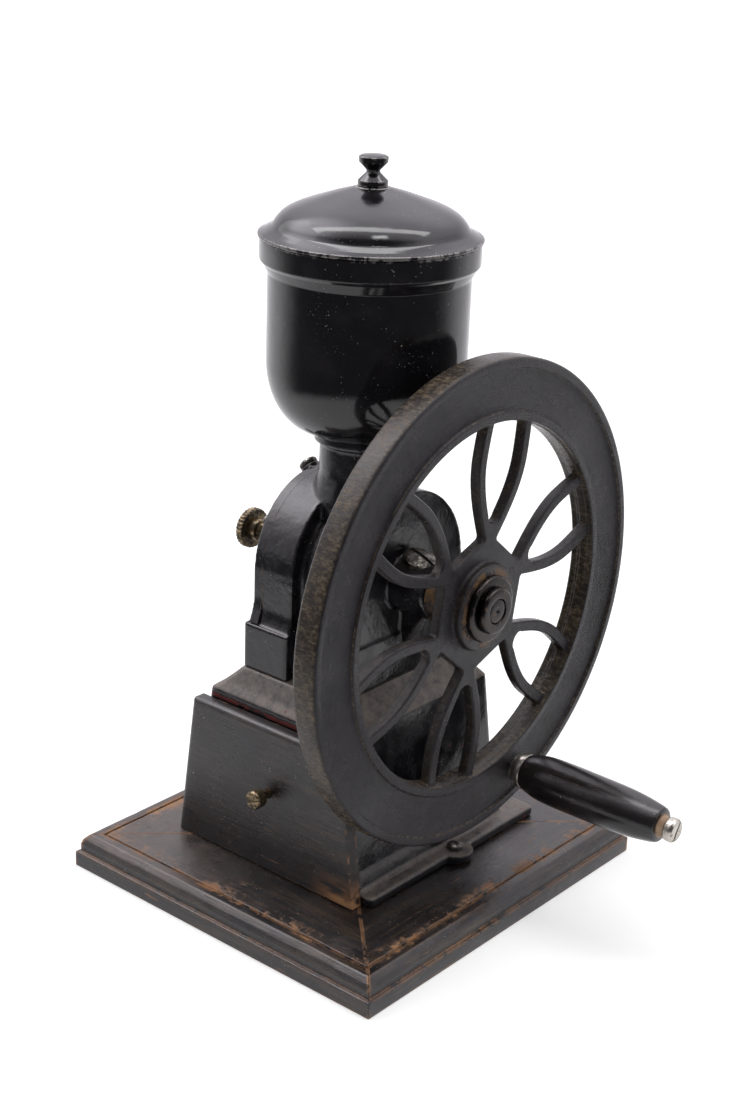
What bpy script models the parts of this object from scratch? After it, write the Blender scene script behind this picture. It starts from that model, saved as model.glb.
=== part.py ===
# Manual coffee grinder: a cast mill on a drawer box, a spun hopper with a lift-off lid,
# and a flywheel that is turned by a wooden grip.
# The origin is the centre of the wooden base's underside, +Z is up, the drawer opens
# towards -Y and the flywheel is on the +X side. Every length is in metres.
import math

import bmesh
import bpy
from mathutils import Matrix, Vector

# Clearance and overrun
GAP = 0.0003
OVERRUN = 0.004
SLOT_WIDTH = 0.0014
SLOT_DEPTH = 0.0014

# Wooden base: four mitred rails round a panel
BASE_WIDTH = 0.2000
BASE_DEPTH = 0.2133
BASE_HEIGHT = 0.0180
PANEL_HALF = 0.0500
RAIL_WIDTH = BASE_WIDTH / 2 - PANEL_HALF
SLAB_HEIGHT = 0.0085
SLAB_EASE = 0.0012
STEP_IN = 0.0020
STEP_TOP = 0.0128
MOULDING_IN = 0.0052
GROOVE_IN = 0.0102
GROOVE_WIDTH = 0.0014
GROOVE_DEPTH = 0.0012

# Where the mill stands on the base
MILL_X = -0.0072

# Drawer housing: tapered casting with a hipped roof and a moulded flange
HOUSING_FRONT_Y = -0.0570
HOUSING_FRONT_SINK = 0.0005
HOUSING_WALL = 0.0035
HOUSING_FOOT_HALF = 0.0563
HOUSING_EAVE_HALF = 0.0455
HOUSING_FOOT_REAR_Y = 0.0565
HOUSING_EAVE_REAR_Y = 0.0552
EAVE_Z = 0.1010
ROOF_TOP_Z = 0.1140
ROOF_PLATE = 0.0040
FLANGE_HALF = 0.0655
FLANGE_REAR_Y = 0.0770
FLANGE_THICK = 0.0050
COVE_HALF = 0.0572
COVE_REAR_Y = 0.0600
COVE_HEIGHT = 0.0085
COVE_STEPS = 4
MOUTH_TOP_Z = 0.0920
MOUTH_LIP = 0.0010
EAR_Y = 0.0120
EAR_OFFSET = 0.0628
EAR_RADIUS = 0.0095

# Wood screws that hold the ears down
SCREW_HEAD_RADIUS = 0.0042
SCREW_HEAD_HEIGHT = 0.0026
SCREW_SHANK_RADIUS = 0.0018
SCREW_BITE = 0.0110

# Drawer
DRAWER_FRONT_THICK = 0.0070
DRAWER_FRONT_FOOT_HALF = 0.0592
DRAWER_FRONT_HEAD_HALF = 0.0492
DRAWER_FRONT_TOP_Z = 0.0965
DRAWER_FRONT_ROUND = 0.0055
DRAWER_BOARD = 0.0050
DRAWER_FLOOR = 0.0030
DRAWER_SIDE_TOP_Z = 0.0870
DRAWER_HALF = 0.0410
DRAWER_REAR_Y = 0.0495
DRAWER_KNOB_X = -0.0045
DRAWER_KNOB_Z = 0.0612
KNOB_SHANK_RADIUS = 0.0024
KNOB_SHANK_OUT = 0.0050
KNOB_RADIUS = 0.0048
KNOB_LENGTH = 0.0063
KNOB_NUT_RADIUS = 0.0050
KNOB_NUT_THICK = 0.0030
KNOB_SHANK_IN = 0.0045

# Shaft line
SHAFT_Z = 0.1650
SHAFT_RADIUS = 0.0060
SHAFT_REAR_X = -0.0400
SHAFT_FRONT_X = 0.0816

# Mill body
BODY_FRONT_X = 0.0250
BODY_REAR_X = -0.0297
ARCH_RADIUS = 0.0450
REAR_ARCH_HALF = 0.0434
FLARE_RISE = 0.0130
ARCH_FOOT_Z = 0.1380
REAR_SECTION_X = -0.0100
FRONT_SECTION_X = 0.0120
WAIST_RADIUS = 0.0370
FOOT_HALF = 0.0475
FOOT_REAR_X = -0.0385
FOOT_WAIST_HALF = 0.0400
FOOT_LEDGE = 0.0006
CHAMBER_RADIUS = 0.0365
CHAMBER_FRONT_X = -0.0120
AUGER_BORE = 0.0165
CHUTE_HALF = 0.0240
CHUTE_REAR_X = -0.0290
CHUTE_FRONT_X = -0.0130
NECK_X = -0.0044
NECK_RADIUS = 0.0216
NECK_BORE = 0.0168
NECK_FLARE_RADIUS = 0.0248
NECK_FLARE_Z = 0.2020
NECK_FLARE_TOP_Z = 0.2150
NECK_TOP_Z = 0.2360
NECK_FLOOR_Z = 0.2060
THROAT_REAR_X = -0.0075
THROAT_FRONT_X = 0.0115
THROAT_HALF = 0.0120
COLLAR_RADIUS = 0.0245
COLLAR_HEIGHT = 0.0055
BOSS_RADIUS = 0.0145
BOSS_FRONT_X = 0.0480
RIB_HALF = 0.0030
RIB_FOOT_Z = 0.1280
RIB_FRONT_X = 0.0440
FOOT_BOLT_X = 0.0060
FOOT_BOLT_Y = 0.0270
FOOT_BOLT_BITE = 0.0120

# Rear cover and the screws round it
COVER_THICK = 0.0055
COVER_BOSS_RADIUS = 0.0120
COVER_BOSS_LENGTH = 0.0165
COVER_SEAT_DEPTH = 0.0120
COVER_SCREW_CIRCLE = 0.0402
COVER_SCREW_ANGLES = (35.0, 145.0, 215.0, 325.0)
COVER_SCREW_HEAD_RADIUS = 0.0032
COVER_SCREW_HEAD_HEIGHT = 0.0022
COVER_SCREW_RADIUS = 0.0013
COVER_SCREW_BITE = 0.0070
TOP_PAD_RADIUS = 0.0050
TOP_PAD_OUT = 0.0076
TOP_PAD_DROP = 0.0068
TOP_SCREW_TILT = 45.0
TOP_SCREW_RADIUS = 0.0048
TOP_SCREW_HEIGHT = 0.0032
TOP_SCREW_SHANK = 0.0014
TOP_SCREW_BITE = 0.0050

# Oil plug on the bearing boss
PLUG_X = 0.0340
PLUG_SEAT_RISE = 0.0116
PLUG_TILT = 20.0
PLUG_RADIUS = 0.0094
PLUG_HEIGHT = 0.0040
PLUG_SLOT_WIDTH = 0.0024

# Bush, burrs and auger
BUSH_RADIUS = 0.0074
BUSH_REAR_X = 0.0165
BURR_RADIUS = 0.0320
FIXED_BURR_THICK = 0.0047
BURR_SPACE = 0.0006
TURNING_BURR_THICK = 0.0068
BURR_TOOTH = 0.0010
BURR_TEETH = 20
AUGER_RADIUS = 0.0150
AUGER_CORE = 0.0085
AUGER_FRONT_X = 0.0155
AUGER_TURNS = 2.0

# Adjusting screw
THRUST_RADIUS = 0.0020
THRUST_LENGTH = 0.0085
THRUST_OUT = 0.0036
ADJUST_RADIUS = 0.0040
ADJUST_HEAD_X = -0.0765
ADJUST_HEAD_THICK = 0.0040
ADJUST_HEAD_RADIUS = 0.0106
ADJUST_HUB_RADIUS = 0.0058
ADJUST_HUB_LENGTH = 0.0035
KNURL_DEPTH = 0.0005
KNURLS = 30

# Hopper, its sleeve, lid and knob
HOPPER_WALL = 0.0014
HOPPER_RADIUS = 0.0483
BAND_RADIUS = 0.0523
HOPPER_TOP_Z = 0.3290
BAND_FOOT_Z = 0.3187
COVE_FOOT_Z = 0.3125
BOWL_TOP_Z = 0.2700
HOPPER_FLAT_RADIUS = 0.0250
BOWL_STEPS = 6
SLEEVE_WALL = 0.0020
SLEEVE_FLANGE_RADIUS = 0.0235
SLEEVE_FLANGE_THICK = 0.0018
SLEEVE_LENGTH = 0.0200
LID_RIM_RADIUS = 0.0532
LID_RIM_THICK = 0.0016
LID_BRIM_RADIUS = 0.0505
LID_BRIM_RISE = 0.0026
LID_SHOULDER_RADIUS = 0.0466
LID_SHOULDER_RISE = 0.0042
LID_CROWN_Z = 0.3528
LID_DOME_SHARES = ((1.00, 0.05), (0.96, 0.19), (0.90, 0.35), (0.82, 0.48), (0.71, 0.59), (0.56, 0.72),
                   (0.39, 0.86), (0.26, 0.95))
LID_WALL = 0.0013
LID_SKIRT_DEPTH = 0.0060
LID_BUTTON_RADIUS = 0.0076
LID_BUTTON_RISE = 0.0004
LID_KNOB_TOP_Z = 0.3680
LID_KNOB_SHARES = ((0.00, 1.00), (0.17, 1.00), (0.42, 0.46), (0.49, 0.44), (0.75, 0.95), (0.77, 0.98),
                   (0.92, 0.98), (0.97, 0.86))
LID_KNOB_RADIUS = 0.0071
LID_STUD_RADIUS = 0.0020
LID_STUD_DROP = 0.0060
LID_NUT_RADIUS = 0.0048
LID_NUT_THICK = 0.0030

# Flywheel
WHEEL_RADIUS = 0.1202
WHEEL_REAR_X = 0.0604
WHEEL_FRONT_X = 0.0735
RIM_BEAD = 0.0047
RIM_DEPTH = 0.0299
RIM_LIP = 0.0042
FACE_SINK = 0.0012
EDGE_EASE = 0.0012
WEB_REAR_X = 0.0655
WEB_FRONT_X = 0.0713
HUB_REAR_X = 0.0485
HUB_RADIUS = 0.0150
HUB_RING_RADIUS = 0.0215
HUB_RING_X = 0.0755
LOOPS = 6
LOOP_FIRST_ANGLE = 20.0
LOOP_ROOT_P = 0.0325
LOOP_ROOT_HALF = 0.0046
LOOP_BELLY_SHARE = 0.81
LOOP_BELLY_HALF = 0.0189
LOOP_RIM_PINCH = 0.0009
BRANCH_WIDTH = 0.0054
BRANCH_ROOT_MORE = 0.0008
WINDOW_ROOT_P = 0.0443
WINDOW_ROOT_SHARE = 0.80
WINDOW_RIM_LEDGE = 0.0007
WINDOW_STEPS = 8

# Hub fastening
WASHER_RADIUS = 0.0165
WASHER_THICK = 0.0028
HUB_NUT_RADIUS = 0.0115
HUB_NUT_THICK = 0.0030

# Crank grip
GRIP_FROM_EDGE = 0.0157
GRIP_ANGLE = -70.0
SPINDLE_RADIUS = 0.0030
SPINDLE_END_X = 0.1685
SPINDLE_HEAD_RADIUS = 0.0060
SPINDLE_HEAD_LENGTH = 0.0050
SPINDLE_NUT_RADIUS = 0.0056
SPINDLE_NUT_THICK = 0.0040
FERRULE_RADIUS = 0.0090
FERRULE_LENGTH = 0.0070
GRIP_END_X = 0.1632
GRIP_RADIUS = 0.0120
GRIP_SHARES = ((0.00, 0.75), (0.02, 0.80), (0.06, 0.87), (0.12, 0.95), (0.20, 0.99), (0.32, 1.00),
               (0.50, 0.99), (0.66, 0.97), (0.78, 0.92), (0.88, 0.83), (0.94, 0.755), (0.960, 0.68),
               (0.966, 0.42), (1.00, 0.39))

# Number of sides on round pieces
WHEEL_SIDES = 60
LARGE_SIDES = 36
MEDIUM_SIDES = 24
SMALL_SIDES = 12

# Nodes on which the exact solver leaves open edges
MANY_CUTS = ("mill_body", "rear_cover")

# Places worked out from the sizes
HOUSING_Z = BASE_HEIGHT + GAP
FLANGE_TOP_Z = HOUSING_Z + FLANGE_THICK
FOOT_Z = ROOF_TOP_Z + GAP
COVER_REAR_X = BODY_REAR_X - GAP - COVER_THICK
COVER_BOSS_X = COVER_REAR_X - COVER_BOSS_LENGTH
COVER_SEAT_X = COVER_REAR_X + COVER_THICK - COVER_SEAT_DEPTH
FIXED_BURR_X = CHAMBER_FRONT_X - GAP - FIXED_BURR_THICK
TURNING_BURR_X = FIXED_BURR_X - BURR_SPACE - TURNING_BURR_THICK
AUGER_REAR_X = TURNING_BURR_X + TURNING_BURR_THICK + GAP
THRUST_X = SHAFT_REAR_X - GAP
ADJUST_TIP_X = THRUST_X - THRUST_OUT
LID_Z = HOPPER_TOP_Z + GAP
LID_BUTTON_Z = LID_CROWN_Z + LID_BUTTON_RISE
HOPPER_FLOOR_Z = NECK_TOP_Z + GAP
WASHER_X = HUB_RING_X + GAP
HUB_NUT_X = WASHER_X + WASHER_THICK + GAP
BEAD_INNER_RADIUS = WHEEL_RADIUS - RIM_BEAD
WHEEL_OPENING_RADIUS = WHEEL_RADIUS - RIM_DEPTH
LIP_OUTER_RADIUS = WHEEL_OPENING_RADIUS + RIM_LIP
WINDOW_RIM_RADIUS = WHEEL_OPENING_RADIUS - WINDOW_RIM_LEDGE
LOOP_BELLY_P = WINDOW_RIM_RADIUS * LOOP_BELLY_SHARE
GRIP_RADIUS_FROM_SHAFT = WHEEL_RADIUS - GRIP_FROM_EDGE
GRIP_Y = GRIP_RADIUS_FROM_SHAFT * math.cos(math.radians(GRIP_ANGLE))
GRIP_Z = SHAFT_Z + GRIP_RADIUS_FROM_SHAFT * math.sin(math.radians(GRIP_ANGLE))
FERRULE_X = WHEEL_FRONT_X + GAP
GRIP_X = FERRULE_X + FERRULE_LENGTH + GAP

SHAFT_LINE = (0, 0, SHAFT_Z)
GRIP_LINE = (0, GRIP_Y, GRIP_Z)
ALONG_X = Vector((1, 0, 0))
ALONG_Y = Vector((0, 1, 0))
ALONG_Z = Vector((0, 0, 1))


# Scene helpers
def clear_scene():
    for item in list(bpy.data.objects):
        bpy.data.objects.remove(item, do_unlink=True)


def make_material(name, colour, roughness, metallic):
    material = bpy.data.materials.new(name)
    material.use_nodes = True
    shader = material.node_tree.nodes["Principled BSDF"]
    shader.inputs["Base Color"].default_value = (*colour, 1)
    shader.inputs["Roughness"].default_value = roughness
    shader.inputs["Metallic"].default_value = metallic
    return material


def make_axis(name, place):
    # An empty on a joint's axis, for the pieces that move with it
    empty = bpy.data.objects.new(name, None)
    empty.location = place
    bpy.context.collection.objects.link(empty)
    return empty


def add_object(name, bm, material=None, axis=None):
    # The mesh is drawn in world places, then held by the empty on its axis
    bmesh.ops.recalc_face_normals(bm, faces=bm.faces)
    mesh = bpy.data.meshes.new(name)
    if axis is not None:
        bm.transform(Matrix.Translation(-axis.location))
    bm.to_mesh(mesh)
    bm.free()
    mesh.shade_smooth()
    mesh.set_sharp_from_angle(angle=math.radians(35))
    item = bpy.data.objects.new(name, mesh)
    item.parent = axis
    if material is not None:
        mesh.materials.append(material)
    bpy.context.collection.objects.link(item)
    return item


def combine(item, bm, operation):
    # A hidden tool shape that is cut from, or joined to, an object
    tool = add_object(f"{item.name}_{operation.lower()}_{len(item.modifiers)}", bm)
    tool.hide_render = True
    tool.display_type = "WIRE"
    modifier = item.modifiers.new(operation.capitalize(), "BOOLEAN")
    modifier.operation = operation
    modifier.solver = "MANIFOLD" if item.name in MANY_CUTS else "EXACT"
    modifier.object = tool


def cut(item, bm):
    combine(item, bm, "DIFFERENCE")


def join(item, bm):
    combine(item, bm, "UNION")


# Shape helpers
def sweep_frame(place, direction):
    return Matrix.Translation(place) @ Vector(direction).to_track_quat("Z", "Y").to_matrix().to_4x4()


def skin(bm, rings, closed_ends=False, loop_rings=False):
    # Quads between rings of vertices, with caps or with the last ring joined to the first
    pairs = list(zip(rings, rings[1:]))
    if loop_rings:
        pairs.append((rings[-1], rings[0]))
    for low, high in pairs:
        count = len(low)
        for i in range(count):
            j = (i + 1) % count
            bm.faces.new((low[i], low[j], high[j], high[i]))
    if closed_ends:
        bm.faces.new(rings[0])
        bm.faces.new(rings[-1])


def turned(profile, place, direction=ALONG_Z, sides=MEDIUM_SIDES, bm=None):
    # Revolve (radius, height) points round a line; a profile that starts and ends
    # off the line is a closed outline, one that starts or ends on it has a pole there
    bm = bm or bmesh.new()
    matrix = sweep_frame(place, direction)
    rings = []
    for radius, height in profile:
        if radius == 0:
            rings.append(bm.verts.new(matrix @ Vector((0, 0, height))))
            continue
        ring = []
        for k in range(sides):
            turn = 2 * math.pi * k / sides
            point = Vector((radius * math.cos(turn), radius * math.sin(turn), height))
            ring.append(bm.verts.new(matrix @ point))
        rings.append(ring)
    is_hollow = all(isinstance(ring, list) for ring in rings)
    pairs = list(zip(rings, rings[1:]))
    if is_hollow:
        pairs.append((rings[-1], rings[0]))
    for low, high in pairs:
        for k in range(sides):
            m = (k + 1) % sides
            if not isinstance(low, list):
                bm.faces.new((low, high[m], high[k]))
            elif not isinstance(high, list):
                bm.faces.new((low[k], low[m], high))
            else:
                bm.faces.new((low[k], low[m], high[m], high[k]))
    return bm


def rod(radius, low, high, place, direction=ALONG_Z, sides=MEDIUM_SIDES, bm=None):
    return turned([(0, low), (radius, low), (radius, high), (0, high)], place, direction, sides, bm)


def tube(outer, inner, low, high, place, direction=ALONG_Z, sides=MEDIUM_SIDES, bm=None):
    profile = [(outer, low), (outer, high), (inner, high), (inner, low)]
    return turned(profile, place, direction, sides, bm)


def prism(outline, low, high, plane, bm=None):
    # Extrude an outline square to its plane: "YZ" along X, "XZ" along Y, "XY" along Z
    bm = bm or bmesh.new()
    order = {"YZ": lambda u, v, w: (w, u, v), "XZ": lambda u, v, w: (u, w, v),
             "XY": lambda u, v, w: (u, v, w)}
    rings = [[bm.verts.new(order[plane](u, v, w)) for u, v in outline] for w in (low, high)]
    skin(bm, rings, closed_ends=True)
    return bm


def block(low, high, bm=None):
    outline = [(low[0], low[1]), (high[0], low[1]), (high[0], high[1]), (low[0], high[1])]
    return prism(outline, low[2], high[2], "XY", bm)


def stacked(sections, bm=None):
    # Rectangles (x low, x high, y low, y high, z) skinned upwards
    bm = bm or bmesh.new()
    rings = []
    for x0, x1, y0, y1, z in sections:
        rings.append([bm.verts.new((x, y, z)) for x, y in ((x0, y0), (x1, y0), (x1, y1), (x0, y1))])
    skin(bm, rings, closed_ends=True)
    return bm


def arc(centre, radius, first, last, steps):
    # Points on an arc, angles in degrees
    points = []
    for k in range(steps + 1):
        turn = math.radians(first + (last - first) * k / steps)
        points.append((centre[0] + radius * math.cos(turn), centre[1] + radius * math.sin(turn)))
    return points


def arch(radius, half, foot_half, foot_z):
    # A round-topped outline about the shaft line, with sides that flare out to the foot
    points = [(y * half / radius, z) for y, z in arc((0, SHAFT_Z), radius, 0, 180, MEDIUM_SIDES)]
    flare = foot_half - half
    side = [(half, foot_z + FLARE_RISE), (half + flare / 3, foot_z + FLARE_RISE / 3), (foot_half, foot_z)]
    return points + [(-y, z) for y, z in side] + side[::-1]


def slot_cutter(place, direction, half_length, width, depth, turn=0.0):
    # A screwdriver slot sunk below a head's top face, whose middle is at place
    frame = sweep_frame(place, direction) @ Matrix.Rotation(math.radians(turn), 4, "Z")
    bm = block((-half_length, -width / 2, -depth), (half_length, width / 2, OVERRUN))
    bm.transform(frame)
    return bm


def dome(radius, low, high, round_share=0.55):
    # A screw head's profile: straight side, then a low dome
    side = low + (high - low) * (1 - round_share)
    points = [(0, low), (radius, low), (radius, side)]
    for k in (1, 2):
        turn = math.pi / 2 * k / 3
        points.append((radius * math.cos(turn), side + (high - side) * math.sin(turn)))
    return points + [(0, high)]


def make_nut(name, radius, bore, low, high, place, direction, material, axis):
    nut = add_object(name, rod(radius, low, high, place, direction, 6), material, axis)
    cut(nut, rod(bore, low - OVERRUN, high + OVERRUN, place, direction, SMALL_SIDES))


# Wooden base
def rail_outline():
    # Distance in from the base's edge, and height, round the rail's section
    groove = GROOVE_IN + GROOVE_WIDTH
    inner = RAIL_WIDTH - GAP / 2
    return [(0, 0), (0, SLAB_HEIGHT - SLAB_EASE), (SLAB_EASE, SLAB_HEIGHT), (STEP_IN, SLAB_HEIGHT),
            (STEP_IN, STEP_TOP), (STEP_IN + SLAB_EASE, (STEP_TOP + BASE_HEIGHT) / 2),
            (MOULDING_IN, BASE_HEIGHT), (GROOVE_IN, BASE_HEIGHT),
            (GROOVE_IN, BASE_HEIGHT - GROOVE_DEPTH), (groove, BASE_HEIGHT - GROOVE_DEPTH),
            (groove, BASE_HEIGHT), (inner, BASE_HEIGHT), (inner, 0)]


def make_rail(name, length, reach, turn, material):
    # Drawn along X at -Y, mitred at both ends, then turned into place
    bm = bmesh.new()
    rings = []
    for side in (-1, 1):
        ring = []
        for inset, z in rail_outline():
            x = side * (length / 2 - inset - GAP / 2)
            ring.append(bm.verts.new((x, inset - reach, z)))
        rings.append(ring)
    skin(bm, rings, closed_ends=True)
    bm.transform(Matrix.Rotation(math.radians(turn), 4, "Z"))
    return add_object(name, bm, material)


def make_base(wood):
    make_rail("base_front_rail", BASE_WIDTH, BASE_DEPTH / 2, 0, wood)
    make_rail("base_rear_rail", BASE_WIDTH, BASE_DEPTH / 2, 180, wood)
    right = make_rail("base_right_rail", BASE_DEPTH, BASE_WIDTH / 2, 90, wood)
    left = make_rail("base_left_rail", BASE_DEPTH, BASE_WIDTH / 2, 270, wood)
    half_x = BASE_WIDTH / 2 - RAIL_WIDTH - GAP / 2
    half_y = BASE_DEPTH / 2 - RAIL_WIDTH - GAP / 2
    add_object("base_panel", block((-half_x, -half_y, 0), (half_x, half_y, BASE_HEIGHT)), wood)
    for rail, x in ((right, MILL_X + EAR_OFFSET), (left, MILL_X - EAR_OFFSET)):
        bottom = BASE_HEIGHT - SCREW_BITE - GAP
        cut(rail, rod(SCREW_SHANK_RADIUS + GAP, bottom, BASE_HEIGHT + OVERRUN, (x, EAR_Y, 0),
                      sides=SMALL_SIDES))


# Drawer housing
def housing_half(z):
    share = (z - HOUSING_Z) / (EAVE_Z - HOUSING_Z)
    return HOUSING_FOOT_HALF + (HOUSING_EAVE_HALF - HOUSING_FOOT_HALF) * share


def housing_rear(z):
    share = (z - HOUSING_Z) / (EAVE_Z - HOUSING_Z)
    return HOUSING_FOOT_REAR_Y + (HOUSING_EAVE_REAR_Y - HOUSING_FOOT_REAR_Y) * share


def housing_section(z, half, front, rear):
    return (MILL_X - half, MILL_X + half, front, rear, z)


def make_housing(iron):
    front = HOUSING_FRONT_Y + HOUSING_FRONT_SINK
    cove_top = FLANGE_TOP_Z + COVE_HEIGHT
    sections = [housing_section(HOUSING_Z, FLANGE_HALF, HOUSING_FRONT_Y, FLANGE_REAR_Y),
                housing_section(FLANGE_TOP_Z, FLANGE_HALF, HOUSING_FRONT_Y, FLANGE_REAR_Y)]
    for k in range(COVE_STEPS + 1):
        turn = math.pi / 2 * k / COVE_STEPS
        z = FLANGE_TOP_Z + COVE_HEIGHT * math.sin(turn)
        spread = 1 - math.cos(turn)
        half = COVE_HALF + (housing_half(cove_top) - COVE_HALF) * spread ** 0.5
        rear = COVE_REAR_Y + (housing_rear(cove_top) - COVE_REAR_Y) * spread ** 0.5
        sections.append(housing_section(z, half, front, rear))
    sections.append(housing_section(EAVE_Z, HOUSING_EAVE_HALF, front, HOUSING_EAVE_REAR_Y))
    sections.append((FOOT_REAR_X - GAP, BODY_FRONT_X + FOOT_LEDGE + GAP, -FOOT_HALF - GAP, FOOT_HALF + GAP,
                     ROOF_TOP_Z))
    housing = add_object("drawer_housing", stacked(sections), iron)
    for side in (-1, 1):
        x = MILL_X + side * EAR_OFFSET
        ear = rod(EAR_RADIUS, HOUSING_Z + GAP, FLANGE_TOP_Z - GAP, (x, EAR_Y, 0), sides=MEDIUM_SIDES)
        join(housing, ear)
        hole = rod(SCREW_SHANK_RADIUS + GAP, HOUSING_Z - OVERRUN, FLANGE_TOP_Z + OVERRUN, (x, EAR_Y, 0),
                   sides=SMALL_SIDES)
        cut(housing, hole)

    # The hollow follows the walls and the roof, and its mouth is lower than the eave
    floor = HOUSING_Z - OVERRUN
    wall = HOUSING_WALL
    inner_front = front + wall
    roof_in = ROOF_TOP_Z - ROOF_PLATE
    cavity = [housing_section(floor, housing_half(HOUSING_Z) - wall, inner_front, HOUSING_FOOT_REAR_Y - wall),
              housing_section(EAVE_Z - wall, HOUSING_EAVE_HALF - wall, inner_front,
                              HOUSING_EAVE_REAR_Y - wall),
              (FOOT_REAR_X + wall, BODY_FRONT_X - wall, -FOOT_HALF + wall, FOOT_HALF - wall, roof_in)]
    cut(housing, stacked(cavity))
    mouth = []
    for z, level in ((floor - OVERRUN, HOUSING_Z), (MOUTH_TOP_Z, MOUTH_TOP_Z)):
        half = housing_half(level) - wall - MOUTH_LIP
        mouth.append(housing_section(z, half, front - OVERRUN, inner_front + wall))
    cut(housing, stacked(mouth))
    cut(housing, block((CHUTE_REAR_X, -CHUTE_HALF, roof_in - OVERRUN),
                       (CHUTE_FRONT_X, CHUTE_HALF, ROOF_TOP_Z + OVERRUN)))
    for y in (-FOOT_BOLT_Y, FOOT_BOLT_Y):
        cut(housing, rod(SCREW_SHANK_RADIUS + GAP, roof_in - OVERRUN, ROOF_TOP_Z + OVERRUN,
                         (FOOT_BOLT_X, y, 0), sides=SMALL_SIDES))


def make_housing_screws(steel):
    for name, side in (("housing_screw_left", -1), ("housing_screw_right", 1)):
        x = MILL_X + side * EAR_OFFSET
        seat = FLANGE_TOP_Z + GAP
        profile = dome(SCREW_HEAD_RADIUS, seat, seat + SCREW_HEAD_HEIGHT)
        end = BASE_HEIGHT - SCREW_BITE
        shank = [(0, end), (SCREW_SHANK_RADIUS, end), (SCREW_SHANK_RADIUS, seat)]
        screw = add_object(name, turned(shank + profile[1:], (x, EAR_Y, 0), sides=SMALL_SIDES), steel)
        top = (x, EAR_Y, seat + SCREW_HEAD_HEIGHT)
        cut(screw, slot_cutter(top, ALONG_Z, SCREW_HEAD_RADIUS * 2, SLOT_WIDTH, SLOT_DEPTH, 30))


def make_foot_bolts(steel):
    # Bolts from inside the housing, through its roof, into the mill's foot
    head_top = ROOF_TOP_Z - ROOF_PLATE - GAP
    for name, y in (("foot_bolt_front", -FOOT_BOLT_Y), ("foot_bolt_rear", FOOT_BOLT_Y)):
        profile = [(0, FOOT_Z + FOOT_BOLT_BITE), (SCREW_SHANK_RADIUS, FOOT_Z + FOOT_BOLT_BITE),
                   (SCREW_SHANK_RADIUS, head_top), (SCREW_HEAD_RADIUS, head_top),
                   (SCREW_HEAD_RADIUS, head_top - SCREW_HEAD_HEIGHT), (0, head_top - SCREW_HEAD_HEIGHT)]
        add_object(name, turned(profile, (FOOT_BOLT_X, y, 0), sides=SMALL_SIDES), steel)


# Drawer
def make_drawer(wood, raw_wood, brass, axis):
    rear_face = HOUSING_FRONT_Y - GAP
    face = rear_face - DRAWER_FRONT_THICK
    foot = HOUSING_Z
    top = DRAWER_FRONT_TOP_Z
    ease = DRAWER_FRONT_ROUND
    # Section through the front, rounded along its top edge
    profile = [(face, foot), (rear_face, foot), (rear_face, top)]
    profile += arc((face + ease, top - ease), ease, 90, 180, 4)
    bm = bmesh.new()
    rings = []
    for side in (-1, 1):
        ring = []
        for y, z in profile:
            share = (z - foot) / (top - foot)
            half = DRAWER_FRONT_FOOT_HALF + (DRAWER_FRONT_HEAD_HALF - DRAWER_FRONT_FOOT_HALF) * share
            ring.append(bm.verts.new((MILL_X + side * half, y, z)))
        rings.append(ring)
    skin(bm, rings, closed_ends=True)
    front = add_object("drawer_front", bm, wood, axis)
    knob_line = (DRAWER_KNOB_X, 0, DRAWER_KNOB_Z)
    hole = rod(KNOB_SHANK_RADIUS + GAP, face - OVERRUN, rear_face + OVERRUN, knob_line, ALONG_Y, SMALL_SIDES)
    cut(front, hole)

    low_y = rear_face + GAP
    left, right = MILL_X - DRAWER_HALF, MILL_X + DRAWER_HALF
    floor_top = foot + DRAWER_FLOOR
    side_foot = floor_top + GAP
    add_object("drawer_bottom", block((left, low_y, foot), (right, DRAWER_REAR_Y, floor_top)), raw_wood, axis)
    for name, x in (("drawer_left_side", left), ("drawer_right_side", right - DRAWER_BOARD)):
        side = block((x, low_y, side_foot), (x + DRAWER_BOARD, DRAWER_REAR_Y, DRAWER_SIDE_TOP_Z))
        add_object(name, side, raw_wood, axis)
    inset = DRAWER_BOARD + GAP
    back = block((left + inset, DRAWER_REAR_Y - DRAWER_BOARD, side_foot),
                 (right - inset, DRAWER_REAR_Y, DRAWER_SIDE_TOP_Z))
    add_object("drawer_back", back, raw_wood, axis)

    # A slotted brass screw serves as the pull, held by a nut inside
    collar = face - KNOB_SHANK_OUT
    tip = collar - KNOB_LENGTH
    end = rear_face + KNOB_SHANK_IN
    ease = EDGE_EASE / 2
    profile = [(0, end), (KNOB_SHANK_RADIUS, end), (KNOB_SHANK_RADIUS, collar), (KNOB_RADIUS, collar),
               (KNOB_RADIUS, tip + ease), (KNOB_RADIUS - ease, tip), (0, tip)]
    knob = add_object("drawer_knob", turned(profile, knob_line, ALONG_Y, MEDIUM_SIDES), brass, axis)
    cut(knob, slot_cutter((DRAWER_KNOB_X, tip, DRAWER_KNOB_Z), -ALONG_Y, KNOB_RADIUS * 2, SLOT_WIDTH,
                          SLOT_DEPTH, 25))
    make_nut("drawer_knob_nut", KNOB_NUT_RADIUS, KNOB_SHANK_RADIUS + GAP, low_y, low_y + KNOB_NUT_THICK,
             knob_line, ALONG_Y, brass, axis)


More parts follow.
